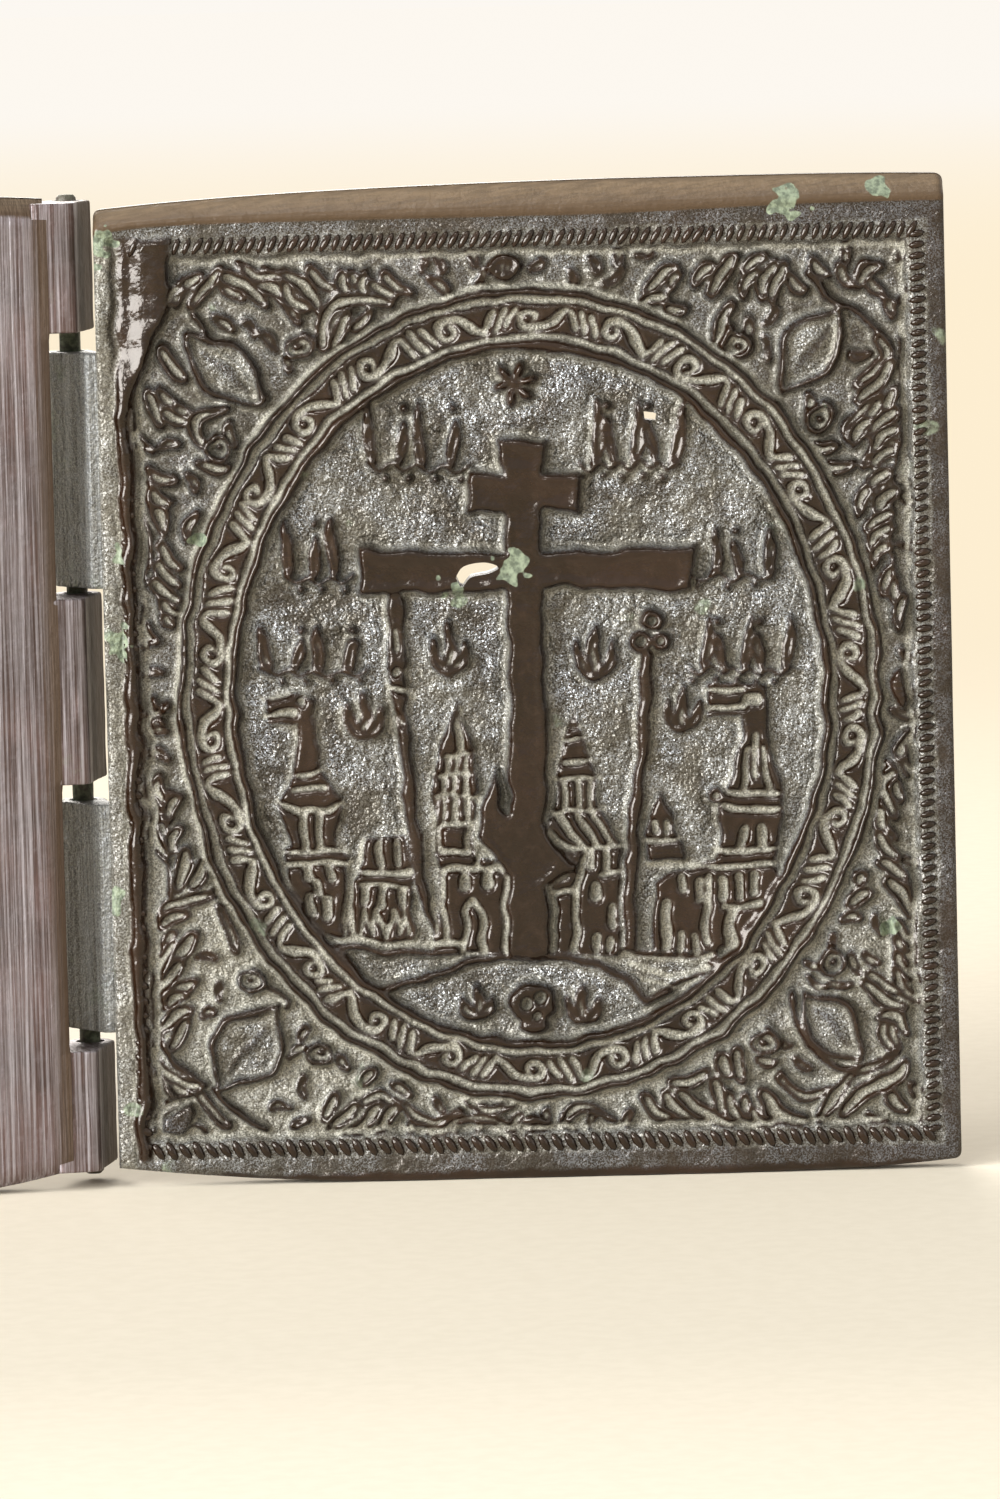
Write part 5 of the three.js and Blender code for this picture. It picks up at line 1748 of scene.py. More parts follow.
    def draw_side_ornaments(self, canvas: ReliefCanvas) -> None:
        """Draw the small ornaments halfway along the sides, top and bottom."""
        rosette = self.photo.leaf(156, 714)
        for k in range(5):
            turn = ROUND * k / 5 + 0.5
            x, y = rosette[0] + 0.75 * math.cos(turn), rosette[1] + 0.75 * math.sin(turn)
            canvas.dome(canvas.oval(x, y, 0.5, 0.3, turn), 0.3, 0.6, 0.3, dust=0.1, grain=0.0)
        barrel = self.photo.leaf(902, 687)
        canvas.knob(*barrel, 0.72, 1.2, 0.25, 0.6, 0.6)
        for k in range(4):
            y = barrel[1] - 0.72 + 0.48 * k
            canvas.groove([(barrel[0] - 0.45, y + 0.1), (barrel[0] + 0.25, y)], 0.16, 0.6, 0.12)
        shell = self.photo.leaf(505, 272)
        canvas.knob(*shell, 1.25, 0.85, 0.22, 0.6, 0.6)
        for k in range(4):
            x = shell[0] - 0.75 + 0.5 * k
            canvas.groove([(x * 0.6 + shell[0] * 0.4, shell[1] + 0.5), (x, shell[1] - 0.6)], 0.17, 0.62, 0.12)
        bud = self.photo.leaf(535, 1124)
        canvas.knob(*bud, 0.85, 0.8, 0.25, 0.6, 0.6)
        canvas.groove([(bud[0] - 0.6, bud[1] + 0.2), (bud[0] + 0.6, bud[1] + 0.25)], 0.16, 0.55, 0.12)
        for points in (((402, 1104), (430, 1124), (460, 1110)), ((440, 1132), (470, 1118), (508, 1128)),
                       ((560, 1124), (580, 1108), (612, 1118)), ((470, 1100), (490, 1112), (512, 1102))):
            canvas.gouge(self.photo.line(points), 0.42)
        for outline in (((152, 1072), (160, 1066), (163, 1085), (176, 1098), (168, 1102), (156, 1094)),
                        ((150, 1136), (160, 1120), (176, 1110), (192, 1103), (194, 1116), (184, 1134), (166, 1142))):
            canvas.area(self.photo.line(outline), 0.3, 0.2, True, dust=0.0, grain=0.35)


class Robe(Enum):
    """How a figure on the fronts is dressed."""

    MANTLE = "mantle"
    VESTMENT = "vestment"
    HABIT = "habit"


@dataclass(frozen=True)
class RobedFigure:
    """A calm haloed figure in low relief, of no one in particular."""

    x: float
    floor: float
    size: float
    robe: Robe
    side: int = 1
    tall: float = 50.0
    wide: float = 14.0
    head: float = 0.88
    halo: float = 5.0
    halo_groove: float = 4.45
    halo_beads: float = 4.72
    half_outline: tuple[Point, ...] = (
        (0.30, 0.00), (0.34, 0.10), (0.37, 0.30), (0.44, 0.42), (0.46, 0.56), (0.42, 0.68), (0.30, 0.75),
        (0.12, 0.785), (0.09, 0.83),
    )

    def at(self, u: float, v: float) -> Point:
        """Return the place at shares of the figure's width and height."""
        return self.x + self.side * u * self.wide * self.size, self.floor + v * self.tall * self.size

    def line(self, *points: Point) -> list[Point]:
        """Return a smooth line through places given in shares."""
        return curve_points([self.at(u, v) for u, v in points], 5)

    def draw(self, canvas: ReliefCanvas) -> None:
        """Raise the halo, robe, hands and head, then cut the folds."""
        s = self.size
        hx, hy = self.at(0, self.head)
        canvas.area(canvas.oval(hx, hy, self.halo * s, self.halo * s), 0.72, 0.2, dust=0.2, grain=0.15)
        ring = canvas.oval(hx, hy, self.halo_groove * s, self.halo_groove * s)
        canvas.groove([*ring, ring[0]], 0.3, 0.9, 0.14)
        for foot in (-1, 1):
            toe = [self.at(foot * 0.06, -0.028), self.at(foot * 0.25, -0.028), self.at(foot * 0.26, 0.03),
                   self.at(foot * 0.06, 0.03)]
            canvas.dome(toe, 0.5, 0.9, 0.5, dust=0.1, grain=0.0)
        half = [self.at(u, v) for u, v in self.half_outline]
        other = [self.at(-u, v) for u, v in self.half_outline][::-1]
        canvas.dome(half + other, 0.42, 0.85, 2.4, **CLEAN)
        self.draw_folds(canvas)
        robes = {Robe.MANTLE: self.draw_mantle, Robe.VESTMENT: self.draw_vestment, Robe.HABIT: self.draw_habit}
        robes[self.robe](canvas)
        self.draw_head(canvas, hx, hy, s)

    def draw_folds(self, canvas: ReliefCanvas) -> None:
        """Cut the long folds of the robe and its hem."""
        for u, low, high, width in ((-0.26, 0.03, 0.34, 0.5), (-0.17, 0.02, 0.42, 0.42), (-0.07, 0.02, 0.36, 0.46),
                                    (0.06, 0.02, 0.4, 0.42), (0.16, 0.02, 0.35, 0.5), (0.25, 0.03, 0.3, 0.42)):
            fold = self.line((u, low), (u * 0.92, (low + high) / 2), (u * 0.6, high))
            canvas.groove(fold, list(np.linspace(width, 0.14, len(fold))), 0.82, 0.3, 0.7)
        hem = self.line((-0.31, 0.035), (-0.1, 0.022), (0.1, 0.022), (0.31, 0.035))
        canvas.groove(hem, 0.22, 0.8, 0.14, 0.8)

    def draw_mantle(self, canvas: ReliefCanvas) -> None:
        """Lay a cloak over one shoulder and under the other arm, and put a book in the hand."""
        edge = self.line((0.3, 0.74), (0.12, 0.66), (-0.12, 0.52), (-0.36, 0.4))
        canvas.ridge(edge, 0.85, 0.34, 0.3)
        low = self.line((-0.4, 0.42), (-0.1, 0.34), (0.16, 0.36), (0.4, 0.5))
        canvas.ridge(low, 0.8, 0.36, 0.3)
        for shift in (0.05, 0.1, 0.15):
            fold = self.line((0.34, 0.7 - shift), (0.14, 0.62 - shift), (-0.1, 0.48 - shift * 0.8))
            canvas.groove(fold, 0.26, 0.72, 0.2, 0.7)
        self.draw_book(canvas, -0.2, 0.6)
        self.draw_hand(canvas, 0.12, 0.58)

    def draw_vestment(self, canvas: ReliefCanvas) -> None:
        """Hang a long stole with small crosses down the front."""
        stole = [self.at(-0.1, 0.05), self.at(0.1, 0.05), self.at(0.09, 0.7), self.at(-0.09, 0.7)]
        canvas.area(stole, 0.34, 0.2, **CLEAN)
        for v in (0.1, 0.22, 0.34, 0.46):
            x, y = self.at(0.0, v)
            canvas.groove([(x - 0.55, y), (x + 0.55, y)], 0.26, 0.6, 0.12)
            canvas.groove([(x, y - 0.7), (x, y + 0.7)], 0.26, 0.6, 0.12)
        yoke = self.line((-0.32, 0.72), (-0.12, 0.68), (0.12, 0.68), (0.32, 0.72))
        canvas.ridge(yoke, 1.3, 0.34, 0.3)
        for u in (-0.27, 0.27):
            cuff = self.line((u * 1.5, 0.62), (u * 1.2, 0.5), (u * 0.6, 0.44))
            canvas.groove(cuff, 0.3, 0.75, 0.2, 0.7)
        self.draw_book(canvas, 0.2, 0.58)
        self.draw_hand(canvas, -0.16, 0.6)

    def draw_habit(self, canvas: ReliefCanvas) -> None:
        """Hang a plain cloak from both shoulders, tied at the neck, open over the tunic."""
        for u in (-1, 1):
            edge = self.line((u * 0.05, 0.75), (u * 0.13, 0.6), (u * 0.19, 0.3), (u * 0.25, 0.05))
            canvas.ridge(edge, 0.6, 0.36, 0.25)
        belt = self.line((-0.15, 0.44), (0.0, 0.43), (0.15, 0.44))
        canvas.ridge(belt, 0.6, 0.34, 0.2)
        canvas.ridge(self.line((0.0, 0.43), (0.03, 0.36), (0.02, 0.28)), 0.4, 0.38, 0.2)
        self.draw_hand(canvas, 0.1, 0.56)
        self.draw_hand(canvas, -0.1, 0.56)

    def draw_book(self, canvas: ReliefCanvas, u: float, v: float) -> None:
        """Raise a closed book with a bordered cover."""
        x, y = self.at(u, v)
        w, h = 1.25 * self.size, 1.65 * self.size
        canvas.area([(x - w, y - h), (x + w, y - h), (x + w, y + h), (x - w, y + h)], 0.3, 0.16, True, dust=0.0)
        w, h = 0.7 * w, 0.74 * h
        border = [(x - w, y - h), (x + w, y - h), (x + w, y + h), (x - w, y + h), (x - w, y - h)]
        canvas.groove(border, 0.16, 0.46, 0.1)
        canvas.dome(canvas.oval(x, y, 0.3, 0.4), 0.24, 0.3, 0.3, dust=0.0)

    def draw_hand(self, canvas: ReliefCanvas, u: float, v: float) -> None:
        """Raise a hand held before the chest, with its fingers and sleeve."""
        wrist = self.line((u * 2.6, v - 0.05), (u * 1.7, v - 0.03), (u * 1.1, v - 0.01))
        canvas.ridge(wrist, [2.3 - 0.08 * k for k in range(len(wrist))], 0.34, 0.5)
        x, y = self.at(u, v)
        canvas.knob(x, y, 0.75, 0.85, 0.26, 0.45, 0.5)
        for k in range(3):
            tip = (x - self.side * (0.35 - 0.32 * k) * (1 if u > 0 else -1), y + 1.35)
            canvas.ridge([(x - 0.3 + 0.3 * k, y + 0.4), tip], 0.32, 0.28, 0.14)

    def draw_head(self, canvas: ReliefCanvas, x: float, y: float, s: float) -> None:
        """Raise the head with plain hair and beard and closed eyes."""
        canvas.knob(x, y + 0.25 * s, 2.3 * s, 2.75 * s, 0.42, 0.75, 1.1)
        beard = canvas.oval(x, y - 2.05 * s, 1.4 * s, 1.75 * s)
        canvas.dome(beard, 0.36, 0.7, 0.9, **CLEAN)
        canvas.knob(x, y - 0.1 * s, 1.62 * s, 2.2 * s, 0.3, 0.5, 1.0)
        for k in range(5):
            u = (k - 2) * 0.42 * s
            canvas.groove([(x + u * 0.7, y - 2.0 * s), (x + u, y - 3.2 * s)], 0.14, 0.6, 0.1, 0.8)
        for u in (-1, 1):
            lock = curve_points([(x + u * 0.3 * s, y + 2.75 * s), (x + u * 1.5 * s, y + 1.9 * s),
                                 (x + u * 1.95 * s, y + 0.2 * s), (x + u * 1.8 * s, y - 1.3 * s)], 5)
            canvas.groove(lock, 0.16, 0.62, 0.1, 0.8)
            canvas.groove([(x + u * 0.35 * s, y + 0.25 * s), (x + u * s, y + 0.18 * s)], 0.22, 0.46, 0.12, 0.7)
            canvas.stroke([(x + u * 0.3 * s, y + 0.62 * s), (x + u * 1.1 * s, y + 0.5 * s)], 0.2, 0.22, 0.12, True)
        canvas.stroke([(x, y + 0.5 * s), (x, y - 0.55 * s)], [0.24, 0.42], 0.14, 0.16, True, dust=0.0)
        canvas.groove([(x - 0.42 * s, y - 1.02 * s), (x + 0.42 * s, y - 1.02 * s)], 0.16, 0.44, 0.1, 0.6)


@dataclass
class ArcadeFront:
    """The front of a leaf: a rim, three arches, three figures and a floor strip."""

    width: float
    height: float = 65.0
    middle_size: float = 1.0
    robes: tuple[Robe, Robe, Robe] = (Robe.MANTLE, Robe.VESTMENT, Robe.HABIT)
    rim: float = 2.4
    deep: float = 1.15
    low_wear: float = 1.3
    high_wear: float = 2.1
    strand: float = 4.2
    side_size: float = 0.92

    @property
    def box(self) -> tuple[float, float, float, float]:
        """The panel's left, right, bottom and top."""
        return self.rim, self.width - self.rim, self.rim + self.low_wear, self.height - self.rim - self.high_wear

    @property
    def spread(self) -> float:
        """How far the side figures stand from the middle."""
        return 0.315 * (self.width - 2 * self.rim)

    def draw(self) -> ReliefCanvas:
        """Draw the whole front and return its field."""
        left, right, low, high = self.box
        canvas = ReliefCanvas(self.width, self.height, 0.11, 0.0)
        panel = [(left, low), (right, low), (right, high), (left, high)]
        canvas.area(panel, self.deep, 0.3, False, grain=0.75, dust=0.3)
        floor = low + self.strand
        middle = self.width / 2
        canvas.area([(left, low), (right, low), (right, floor), (left, floor)], 0.85, 0.2, True, dust=0.1, grain=0.1)
        self.draw_arcade(canvas, middle)
        self.draw_strand(canvas, left, right, low, floor)
        sizes = (self.side_size, self.middle_size, self.side_size)
        for place, size, robe in zip((-1, 0, 1), sizes, self.robes):
            RobedFigure(middle + place * self.spread, floor, size, robe, -1 if place > 0 else 1).draw(canvas)
        inset = 0.95
        border = [(inset, low - self.rim + inset), (self.width - inset, low - self.rim + inset),
                  (self.width - inset, high + self.rim - inset), (inset, high + self.rim - inset)]
        canvas.groove([*border, border[0]], 0.28, 0.28, 0.16, 0.9)
        rough = 0.05 * speckle(canvas.depth.shape, 3.0, SEED + 5) + 0.06 * speckle(canvas.depth.shape, 28.0, SEED + 6)
        fine = 0.05 * speckle(canvas.depth.shape, 0.9, SEED + 7) * canvas.layers[Layer.GRAIN]
        canvas.depth = blurred(canvas.depth, 0.75) + np.abs(rough) * 0.6 + fine
        canvas.depth = np.maximum(canvas.depth, 0.0)
        return canvas

    def draw_arcade(self, canvas: ReliefCanvas, middle: float) -> None:
        """Raise the arches, with a groove round each and a leaf in each corner between them."""
        left, right, _, high = self.box
        rise = 0.42 * self.spread
        springing = high - 0.65 - rise
        half = (self.spread - 1.3) / 2
        strip = [(left, springing), (right, springing), (right, high), (left, high)]
        part, a, b = canvas.window(strip, 0.3)
        gap = canvas.area_gap(a, b, strip)
        for place in (-1, 0, 1):
            opening = canvas.oval(middle + place * self.spread, springing, half, rise)
            gap = np.maximum(gap, -canvas.area_gap(a, b, opening))
        canvas.shape(part, gap, 0.45, 0.2, True, **CLEAN)
        for place in (-1, 0, 1):
            x = middle + place * self.spread
            turns = np.linspace(0.04 * math.pi, 0.96 * math.pi, 24)
            arch = [(x + (half + 0.6) * math.cos(t), springing + (rise + 0.6) * math.sin(t)) for t in turns]
            canvas.groove(arch, 0.24, 0.65, 0.14)
        for place in (-1.5, -0.5, 0.5, 1.5):
            x = middle + place * self.spread
            for lean in (-1, 0, 1):
                leaf = [(x, springing + 0.5), (x + lean * 0.6, springing + 2.4), (x + lean * 1.6, springing + 4.0)]
                canvas.groove(curve_points(leaf), [0.2] * 6 + [0.42] * 6 + [0.2], 0.72, 0.16)

    def draw_strand(self, canvas: ReliefCanvas, left: float, right: float, low: float, floor: float) -> None:
        """Cut a running scroll into the floor strip."""
        count = 12
        pitch = (right - left) / count
        y = (low + floor) / 2
        for k in range(count):
            x = left + (k + 0.5) * pitch
            way = 1 if k % 2 else -1
            turns = np.linspace(0, 1.2, 14)
            scroll = [
                (x + (0.35 + 0.75 * t) * math.cos(ROUND * t), y + way * (0.35 + 0.75 * t) * math.sin(ROUND * t))
                for t in turns
            ]
            canvas.groove(scroll, 0.3, 1.1, 0.16)
        for y in (low + 0.4, floor - 0.4):
            canvas.groove([(left + 0.3, y), (right - 0.3, y)], 0.22, 1.05, 0.14)

    def bead_paths(self) -> list[list[Place]]:
        """Return the lines that beads follow: round the panel and round each halo."""
        left, right, low, high = self.box
        out = 0.42
        box = [(left - out, low - out), (right + out, low - out), (right + out, high + out), (left - out, high + out)]
        paths = [[*box, box[0]]]
        floor = low + self.strand
        for place, size in zip((-1, 0, 1), (self.side_size, self.middle_size, self.side_size)):
            x, y = self.width / 2 + place * self.spread, floor + RobedFigure.head * RobedFigure.tall * size
            radius = RobedFigure.halo_beads * size
            turns = np.linspace(-0.32 * math.pi, 1.32 * math.pi, 40)
            paths.append([(x + radius * math.cos(t), y + radius * math.sin(t)) for t in turns])
        return paths


@dataclass(frozen=True)
class HingeSizes:
    """Where the hinges stand and how their knuckles share the height, in millimetres."""

    cover: HingeFrame = HingeFrame((29.5, 3.8), Side.PLUS_X, math.radians(-12))
    inner: HingeFrame = HingeFrame((-29.0, 1.9), Side.MINUS_X, math.radians(-20))
    centre_at_cover: HingeFrame = HingeFrame((29.5, 3.8), Side.MINUS_X)
    centre_at_inner: HingeFrame = HingeFrame((-29.0, 1.9), Side.PLUS_X)
    centre_spans: tuple[Point, ...] = ((1.2, 9.12), (26.59, 38.69), (55.91, 64.3))
    wing_spans: tuple[Point, ...] = ((10.12, 25.09), (39.19, 54.51))
    pin_radius: float = 0.7
    pin_span: Point = (0.35, 64.7)
    cover_setback: float = 1.9
    cover_side_setback: float = 2.5
    inner_setback: float = 2.0
    cover_front: float = -2.1
    inner_front: float = -0.2
    thickness: float = 3.4
    height: float = 65.0
    cover_width: float = 55.0
    centre_width: float = 54.0
    centre_lap: float = 0.3
    inner_width: float = 53.0

    def leaf(self, hinge: HingeFrame, setback: float, front: float, width: float) -> LeafFrame:
        """Return the frame of a leaf of this thickness, from its hinge and where its front lies."""
        return LeafFrame(hinge, setback, front - self.thickness, width, self.height, self.thickness)

    def cover_leaf(self) -> LeafFrame:
        """Return the cover leaf's frame."""
        return self.leaf(self.cover, self.cover_setback, self.cover_front, self.cover_width)

    def inner_leaf(self) -> LeafFrame:
        """Return the inner leaf's frame."""
        return self.leaf(self.inner, self.inner_setback, self.inner_front, self.inner_width)

    def centre_leaf(self) -> LeafFrame:
        """Return the centre leaf's frame, lapped a little towards the cover's hinge."""
        middle = HingeFrame((0.0, 0.0), Side.PLUS_X)
        width = self.centre_width + self.centre_lap
        return self.leaf(middle, -self.centre_width / 2, self.thickness / 2, width)


def beside_knuckles(spans: Sequence[Point]) -> SideRule:
    """Return a rule that keeps a leaf's side square next to its knuckles."""

    def keep(b: np.ndarray) -> np.ndarray:
        """Return how far from a rounded side each height counts."""
        made = np.zeros_like(b)
        for low, high in spans:
            made = np.maximum(made, np.where((b > low) & (b < high), 1.0, 0.0))
        return made

    return keep


@dataclass
class FrontBuilder:
    """Builds a leaf's front half and the beads on it."""

    frame: LeafFrame
    outline: Outline
    front: ArcadeFront
    finishes: Finishes
    repeat: PathRepeat
    split: float = 1.6
    step: float = 0.21

    def build(self, name: str, body: str, slot: str, node: str, holes: Sequence[Sequence[Point]] = ()) -> None:
        """Build the front half and its beads.

        Args:
            name: The front half's name.
            body: The body that it rides on.
            slot: Not used.
            node: The frame's solid that it stands for.
            holes: The outlines of the openings through the leaf.
        """
        canvas, draft = self.front.draw(), MeshDraft()
        shell = LeafShell(self.frame, self.outline, self.split)
        shell.build(draft, self.step, canvas.depth_at, canvas.layers_at, True, holes=holes)
        piece = draft.build(name, self.frame.hinge.flips, self.finishes.front)
        keep_piece(piece, body, slot, node)
        deep = (self.frame.thickness - 0.1) * MM
        paths = [[(x * MM, y * MM, deep) for x, y in path] for path in self.front.bead_paths()]
        mesh = self.repeat.along(
            name + "_beads",
            paths,
            self.finishes.front,
            Pitch=0.62 * MM,
            Length=0.24 * MM,
            Width=0.24 * MM,
            Height=0.22 * MM,
            Scatter=0.12,
        )
        keep_piece(placed(name + "_beads", mesh, self.frame.matrix()), body, slot, node)


@dataclass
class CoverLeaf:
    """The cover leaf, with the cross relief on its back.

    Each of the crusts is a green spot seen in the photograph, with its size in pixels.
    """

    hinges: HingeSizes
    finishes: Finishes
    repeat: PathRepeat
    photo: PhotoPlace = PhotoPlace()
    split: float = 1.6
    step: float = 0.102
    strips: int = 4
    rope_box: tuple[float, float, float, float] = (1.8, 53.2, 2.35, 61.3)
    rope_width: float = 1.3
    worn_width: float = 2.6
    depth_limits: tuple[float, float] = (0.03, 1.4)
    crusts: tuple[tuple[float, float, float], ...] = (
        (515, 567, 14), (438, 576, 7), (455, 592, 11), (790, 208, 14), (880, 190, 12), (200, 540, 6), (888, 925, 8),
        (104, 245, 12), (118, 640, 14), (120, 560, 8), (112, 900, 10),
    )

    def draw_back(self) -> ReliefCanvas:
        """Draw the carved back and return its field."""
        h = self.hinges
        canvas = ReliefCanvas(h.cover_width, h.height, 0.07, LEVELS.ground)
        # The grain and dust over the whole ground are its own. The extra towards the bottom, most of all at the lower
        # left, is painted light that makes the ground lighter where more light falls.
        lower = smooth((32.0 - canvas.up) / 18.0)
        beside = lower * smooth((26.0 - canvas.across) / 18.0)
        canvas.layers[Layer.GRAIN] += 0.55 + 0.45 * lower
        canvas.layers[Layer.DUST] += 0.15 + 0.3 * lower + 0.25 * beside
        CornerFoliage(self.photo).draw(canvas)
        inside = smooth(MedallionRing().inward(canvas.across, canvas.up) / 0.2 + 0.5)
        canvas.settle(inside, LEVELS.ground, grain=1.0, dust=0.12)
        CrossPanel(self.photo).draw(canvas)
        MedallionRing().draw(canvas, self.photo)
        self.draw_border(canvas)
        self.weather(canvas)
        return canvas

    def draw_border(self, canvas: ReliefCanvas) -> None:
        """Draw the ledge, the rope's bed and the bevel over them."""
        left, right, low, high = self.rope_box
        a, b = canvas.across, canvas.up
        outside = np.maximum(np.maximum(left - a, a - right), np.maximum(low - b, b - high))
        share = smooth(outside / 0.16 + 0.5)
        edge_strip = smooth((left - 0.7 - a) / 0.3 + 0.5)
        # Painted shade: the ledge's grain fades towards the right, which dulls its silvery sheen away from the light.
        across = np.clip(a / self.hinges.cover_width, 0, 1)
        canvas.settle(share, LEVELS.ledge, grain=0.6 - 0.35 * across, dust=0.1 + 0.55 * edge_strip)
        rim = smooth((outside - 1.75) / 0.2 + 0.5) * smooth((3.0 - b) / 0.2 + 0.5)
        for layer in (Layer.GRAIN, Layer.DUST):
            canvas.layers[layer] *= 1 - rim
        strip = np.abs(outside + 1.0) - 0.16
        groove = smooth(-strip / 0.14 + 0.5)
        canvas.settle(groove, np.maximum(canvas.depth, LEVELS.groove), dust=0.8)
        bed = smooth(-(np.abs(outside) - self.rope_width / 2) / 0.14 + 0.5)
        canvas.settle(bed, LEVELS.ridge + 0.2, dust=0.5, grain=0.5)
        spread = self.worn_width * smooth((b - 50.0) / 9.0)
        middle, half = left - 0.1 + spread / 2, 0.62 + spread / 2
        off = np.abs(a - middle) / half
        band = smooth((1.0 - off) * half / 0.12 + 0.5) * smooth((b - low + 0.7) / 0.3) * smooth((high + 0.7 - b) / 0.3)
        broad = smooth(spread / 1.2)
        fall = 0.95 * (half / (0.62 + 0.5 * self.worn_width)) ** 0.6
        tilted = 0.12 + fall * np.clip((middle + 0.55 * half - a) / (1.55 * half), 0, 1) ** 1.2
        tilted += 0.06 * speckle(a.shape, 5.0, SEED + 13) + 0.1 * np.clip(a - middle - 0.55 * half, 0, 1)
        crown = 0.2 + 0.6 * np.clip(off, 0, 1) ** 2 + 0.05 * speckle(a.shape, 9.0, SEED + 12)
        crown += (tilted - crown) * broad
        canvas.depth += (crown - canvas.depth) * band
        for layer in (Layer.DUST, Layer.GRAIN):
            canvas.layers[layer] *= 1 - band

    def weather(self, canvas: ReliefCanvas) -> None:
        """Soften the carving, roughen its ground and gather dust in its corners."""
        self.wander(canvas)
        shape = canvas.depth.shape
        canvas.depth = blurred(canvas.depth, 2.2)
        canvas.depth += 0.75 * (canvas.depth - blurred(canvas.depth, 4.6))
        grain, dust = canvas.layers[Layer.GRAIN], canvas.layers[Layer.DUST]
        hollow = smooth((canvas.depth - blurred(canvas.depth, 6.0)) / 0.22)
        sunk = np.maximum(smooth((canvas.depth - blurred(canvas.depth, 5.0)) / 0.12 + 0.15), grain)
        beside = smooth(2.2 * (1 - blurred(grain, 8.0)) - 0.25)
        leaning = 0.5 * (canvas.across / self.hinges.cover_width - 0.5)
        patchy = smooth(0.5 + 0.32 * speckle(shape, 13.0, SEED + 8) + leaning)
        dust += (1 - dust) * np.maximum(hollow * 0.4, grain**2 * np.maximum(beside * 0.75, patchy * 0.26))
        canvas.layers[Layer.DUST] = np.clip(blurred(dust, 0.6) * sunk, 0, 1)
        canvas.layers[Layer.GRAIN] = np.clip(blurred(grain, 0.8), 0, 1)
        rough = 0.022 * speckle(shape, 1.5, SEED) + 0.045 * speckle(shape, 5.0, SEED + 4)
        rough += 0.13 * speckle(shape, 18.0, SEED + 9)
        canvas.depth += canvas.layers[Layer.GRAIN] * rough
        canvas.depth += 0.016 * speckle(shape, 5.0, SEED + 1) + 0.03 * speckle(shape, 14.0, SEED + 2)
        green, ragged = speckle(shape, 9.0, SEED + 3), speckle(shape, 3.2, SEED + 10)
        crust = smooth((green - 1.7) / 0.9) * 0.6
        for x, y, size in self.crusts:
            at = self.photo.leaf(x, y)
            near = np.hypot(canvas.across - at[0], canvas.up - at[1]) * self.photo.pixels_per_mm / size
            crust = np.maximum(crust, smooth((1.3 - near + 0.45 * ragged) / 0.5))
        canvas.layers[Layer.GREEN] = crust
        canvas.depth = np.clip(canvas.depth, *self.depth_limits)

    @staticmethod
    def wander(canvas: ReliefCanvas) -> None:
        """Shift the drawing a little here and there, as in a mould cut by hand."""
        shape = canvas.depth.shape
        rows, columns = np.indices(shape)
        rows = np.clip(np.rint(rows + 1.3 * speckle(shape, 7.0, SEED + 14)), 0, shape[0] - 1).astype(int)
        columns = np.clip(np.rint(columns + 1.3 * speckle(shape, 7.0, SEED + 15)), 0, shape[1] - 1).astype(int)
        canvas.depth = canvas.depth[rows, columns]
        for layer, values in canvas.layers.items():
            canvas.layers[layer] = values[rows, columns]

    def bevel_drop(self, a: np.ndarray, outline: Outline) -> np.ndarray:
        """Return how far the bevel reaches below the top edge at places across the leaf."""
        line = self.hinges.height - 2.25 - 0.65 * np.exp(-np.maximum(a, 0) / 2.5) + 0.4 * smooth((a - 30.0) / 20.0)
        return outline.top(a) - line

    def depth_on_back(self, canvas: ReliefCanvas, outline: Outline) -> DepthField:
        """Return the depth of the back with the bevels along its top and bottom edges."""

        def depth(a: np.ndarray, b: np.ndarray) -> np.ndarray:
            """Return how deep the back lies at places on the leaf."""
            carved = canvas.depth_at(a, b)
            drop = self.bevel_drop(a, outline)
            into = (b - (outline.top(a) - drop)) / drop
            share = smooth(into / 0.12 + 0.5)
            return np.maximum(outline.bevels(a, b, into), carved * (1 - share) + LEVELS.ridge * share)

        return depth

    def layers_on_back(self, canvas: ReliefCanvas, outline: Outline) -> LayerField:
        """Return what the layers are on the back, with smooth metal on the bevel."""

        def layers(a: np.ndarray, b: np.ndarray) -> dict[str, np.ndarray]:
            """Read the layers at places on the leaf."""
            drop = self.bevel_drop(a, outline)
            flat = 1 - smooth((b - (outline.top(a) - drop)) / 0.15 + 0.5)
            made = canvas.layers_at(a, b)
            made["dust"], made["grain"] = made["dust"] * flat, made["grain"] * flat
            made["brown"] = (1 - flat) * (0.45 + 0.55 * np.clip((b - (outline.top(a) - drop)) / drop, 0, 1))
            return made

        return layers

    def build(self) -> None:
        """Build the back in strips, the front, the knuckles and the rope's strands."""
        h = self.hinges
        leaf = h.cover_leaf()
        outline = wing_outline(h.cover_width, h.height, 1.2, 1.3)
        panel = CrossPanel(self.photo)
        holes = [curve_points([*self.photo.line(panel.hole), self.photo.leaf(*panel.hole[0])], 4)[:-1],
                 self.photo.line(panel.pinhole)]
        canvas = self.draw_back()
        shell = LeafShell(leaf, outline, self.split)
        depth, layers = self.depth_on_back(canvas, outline), self.layers_on_back(canvas, outline)
        seams = np.linspace(0.0, h.cover_width, self.strips + 1)
        for k, span in enumerate(zip(seams[:-1].tolist(), seams[1:].tolist())):
            draft = MeshDraft()
            inside = [hole for hole in holes if span[0] < hole[0][0] < span[1]]
            shell.build(draft, self.step, depth, layers, False, span, inside)
            piece = draft.build(f"cover_relief_{k + 1}", leaf.hinge.flips, self.finishes.relief)
            keep_piece(piece, "cover", "dark_bronze", "cover_leaf")
        front = ArcadeFront(h.cover_width)
        FrontBuilder(leaf, outline, front, self.finishes, self.repeat).build(
            "cover_front", "cover", "dark_bronze", "cover_leaf", holes
        )
        self.build_knuckles()
        self.build_rope(leaf)

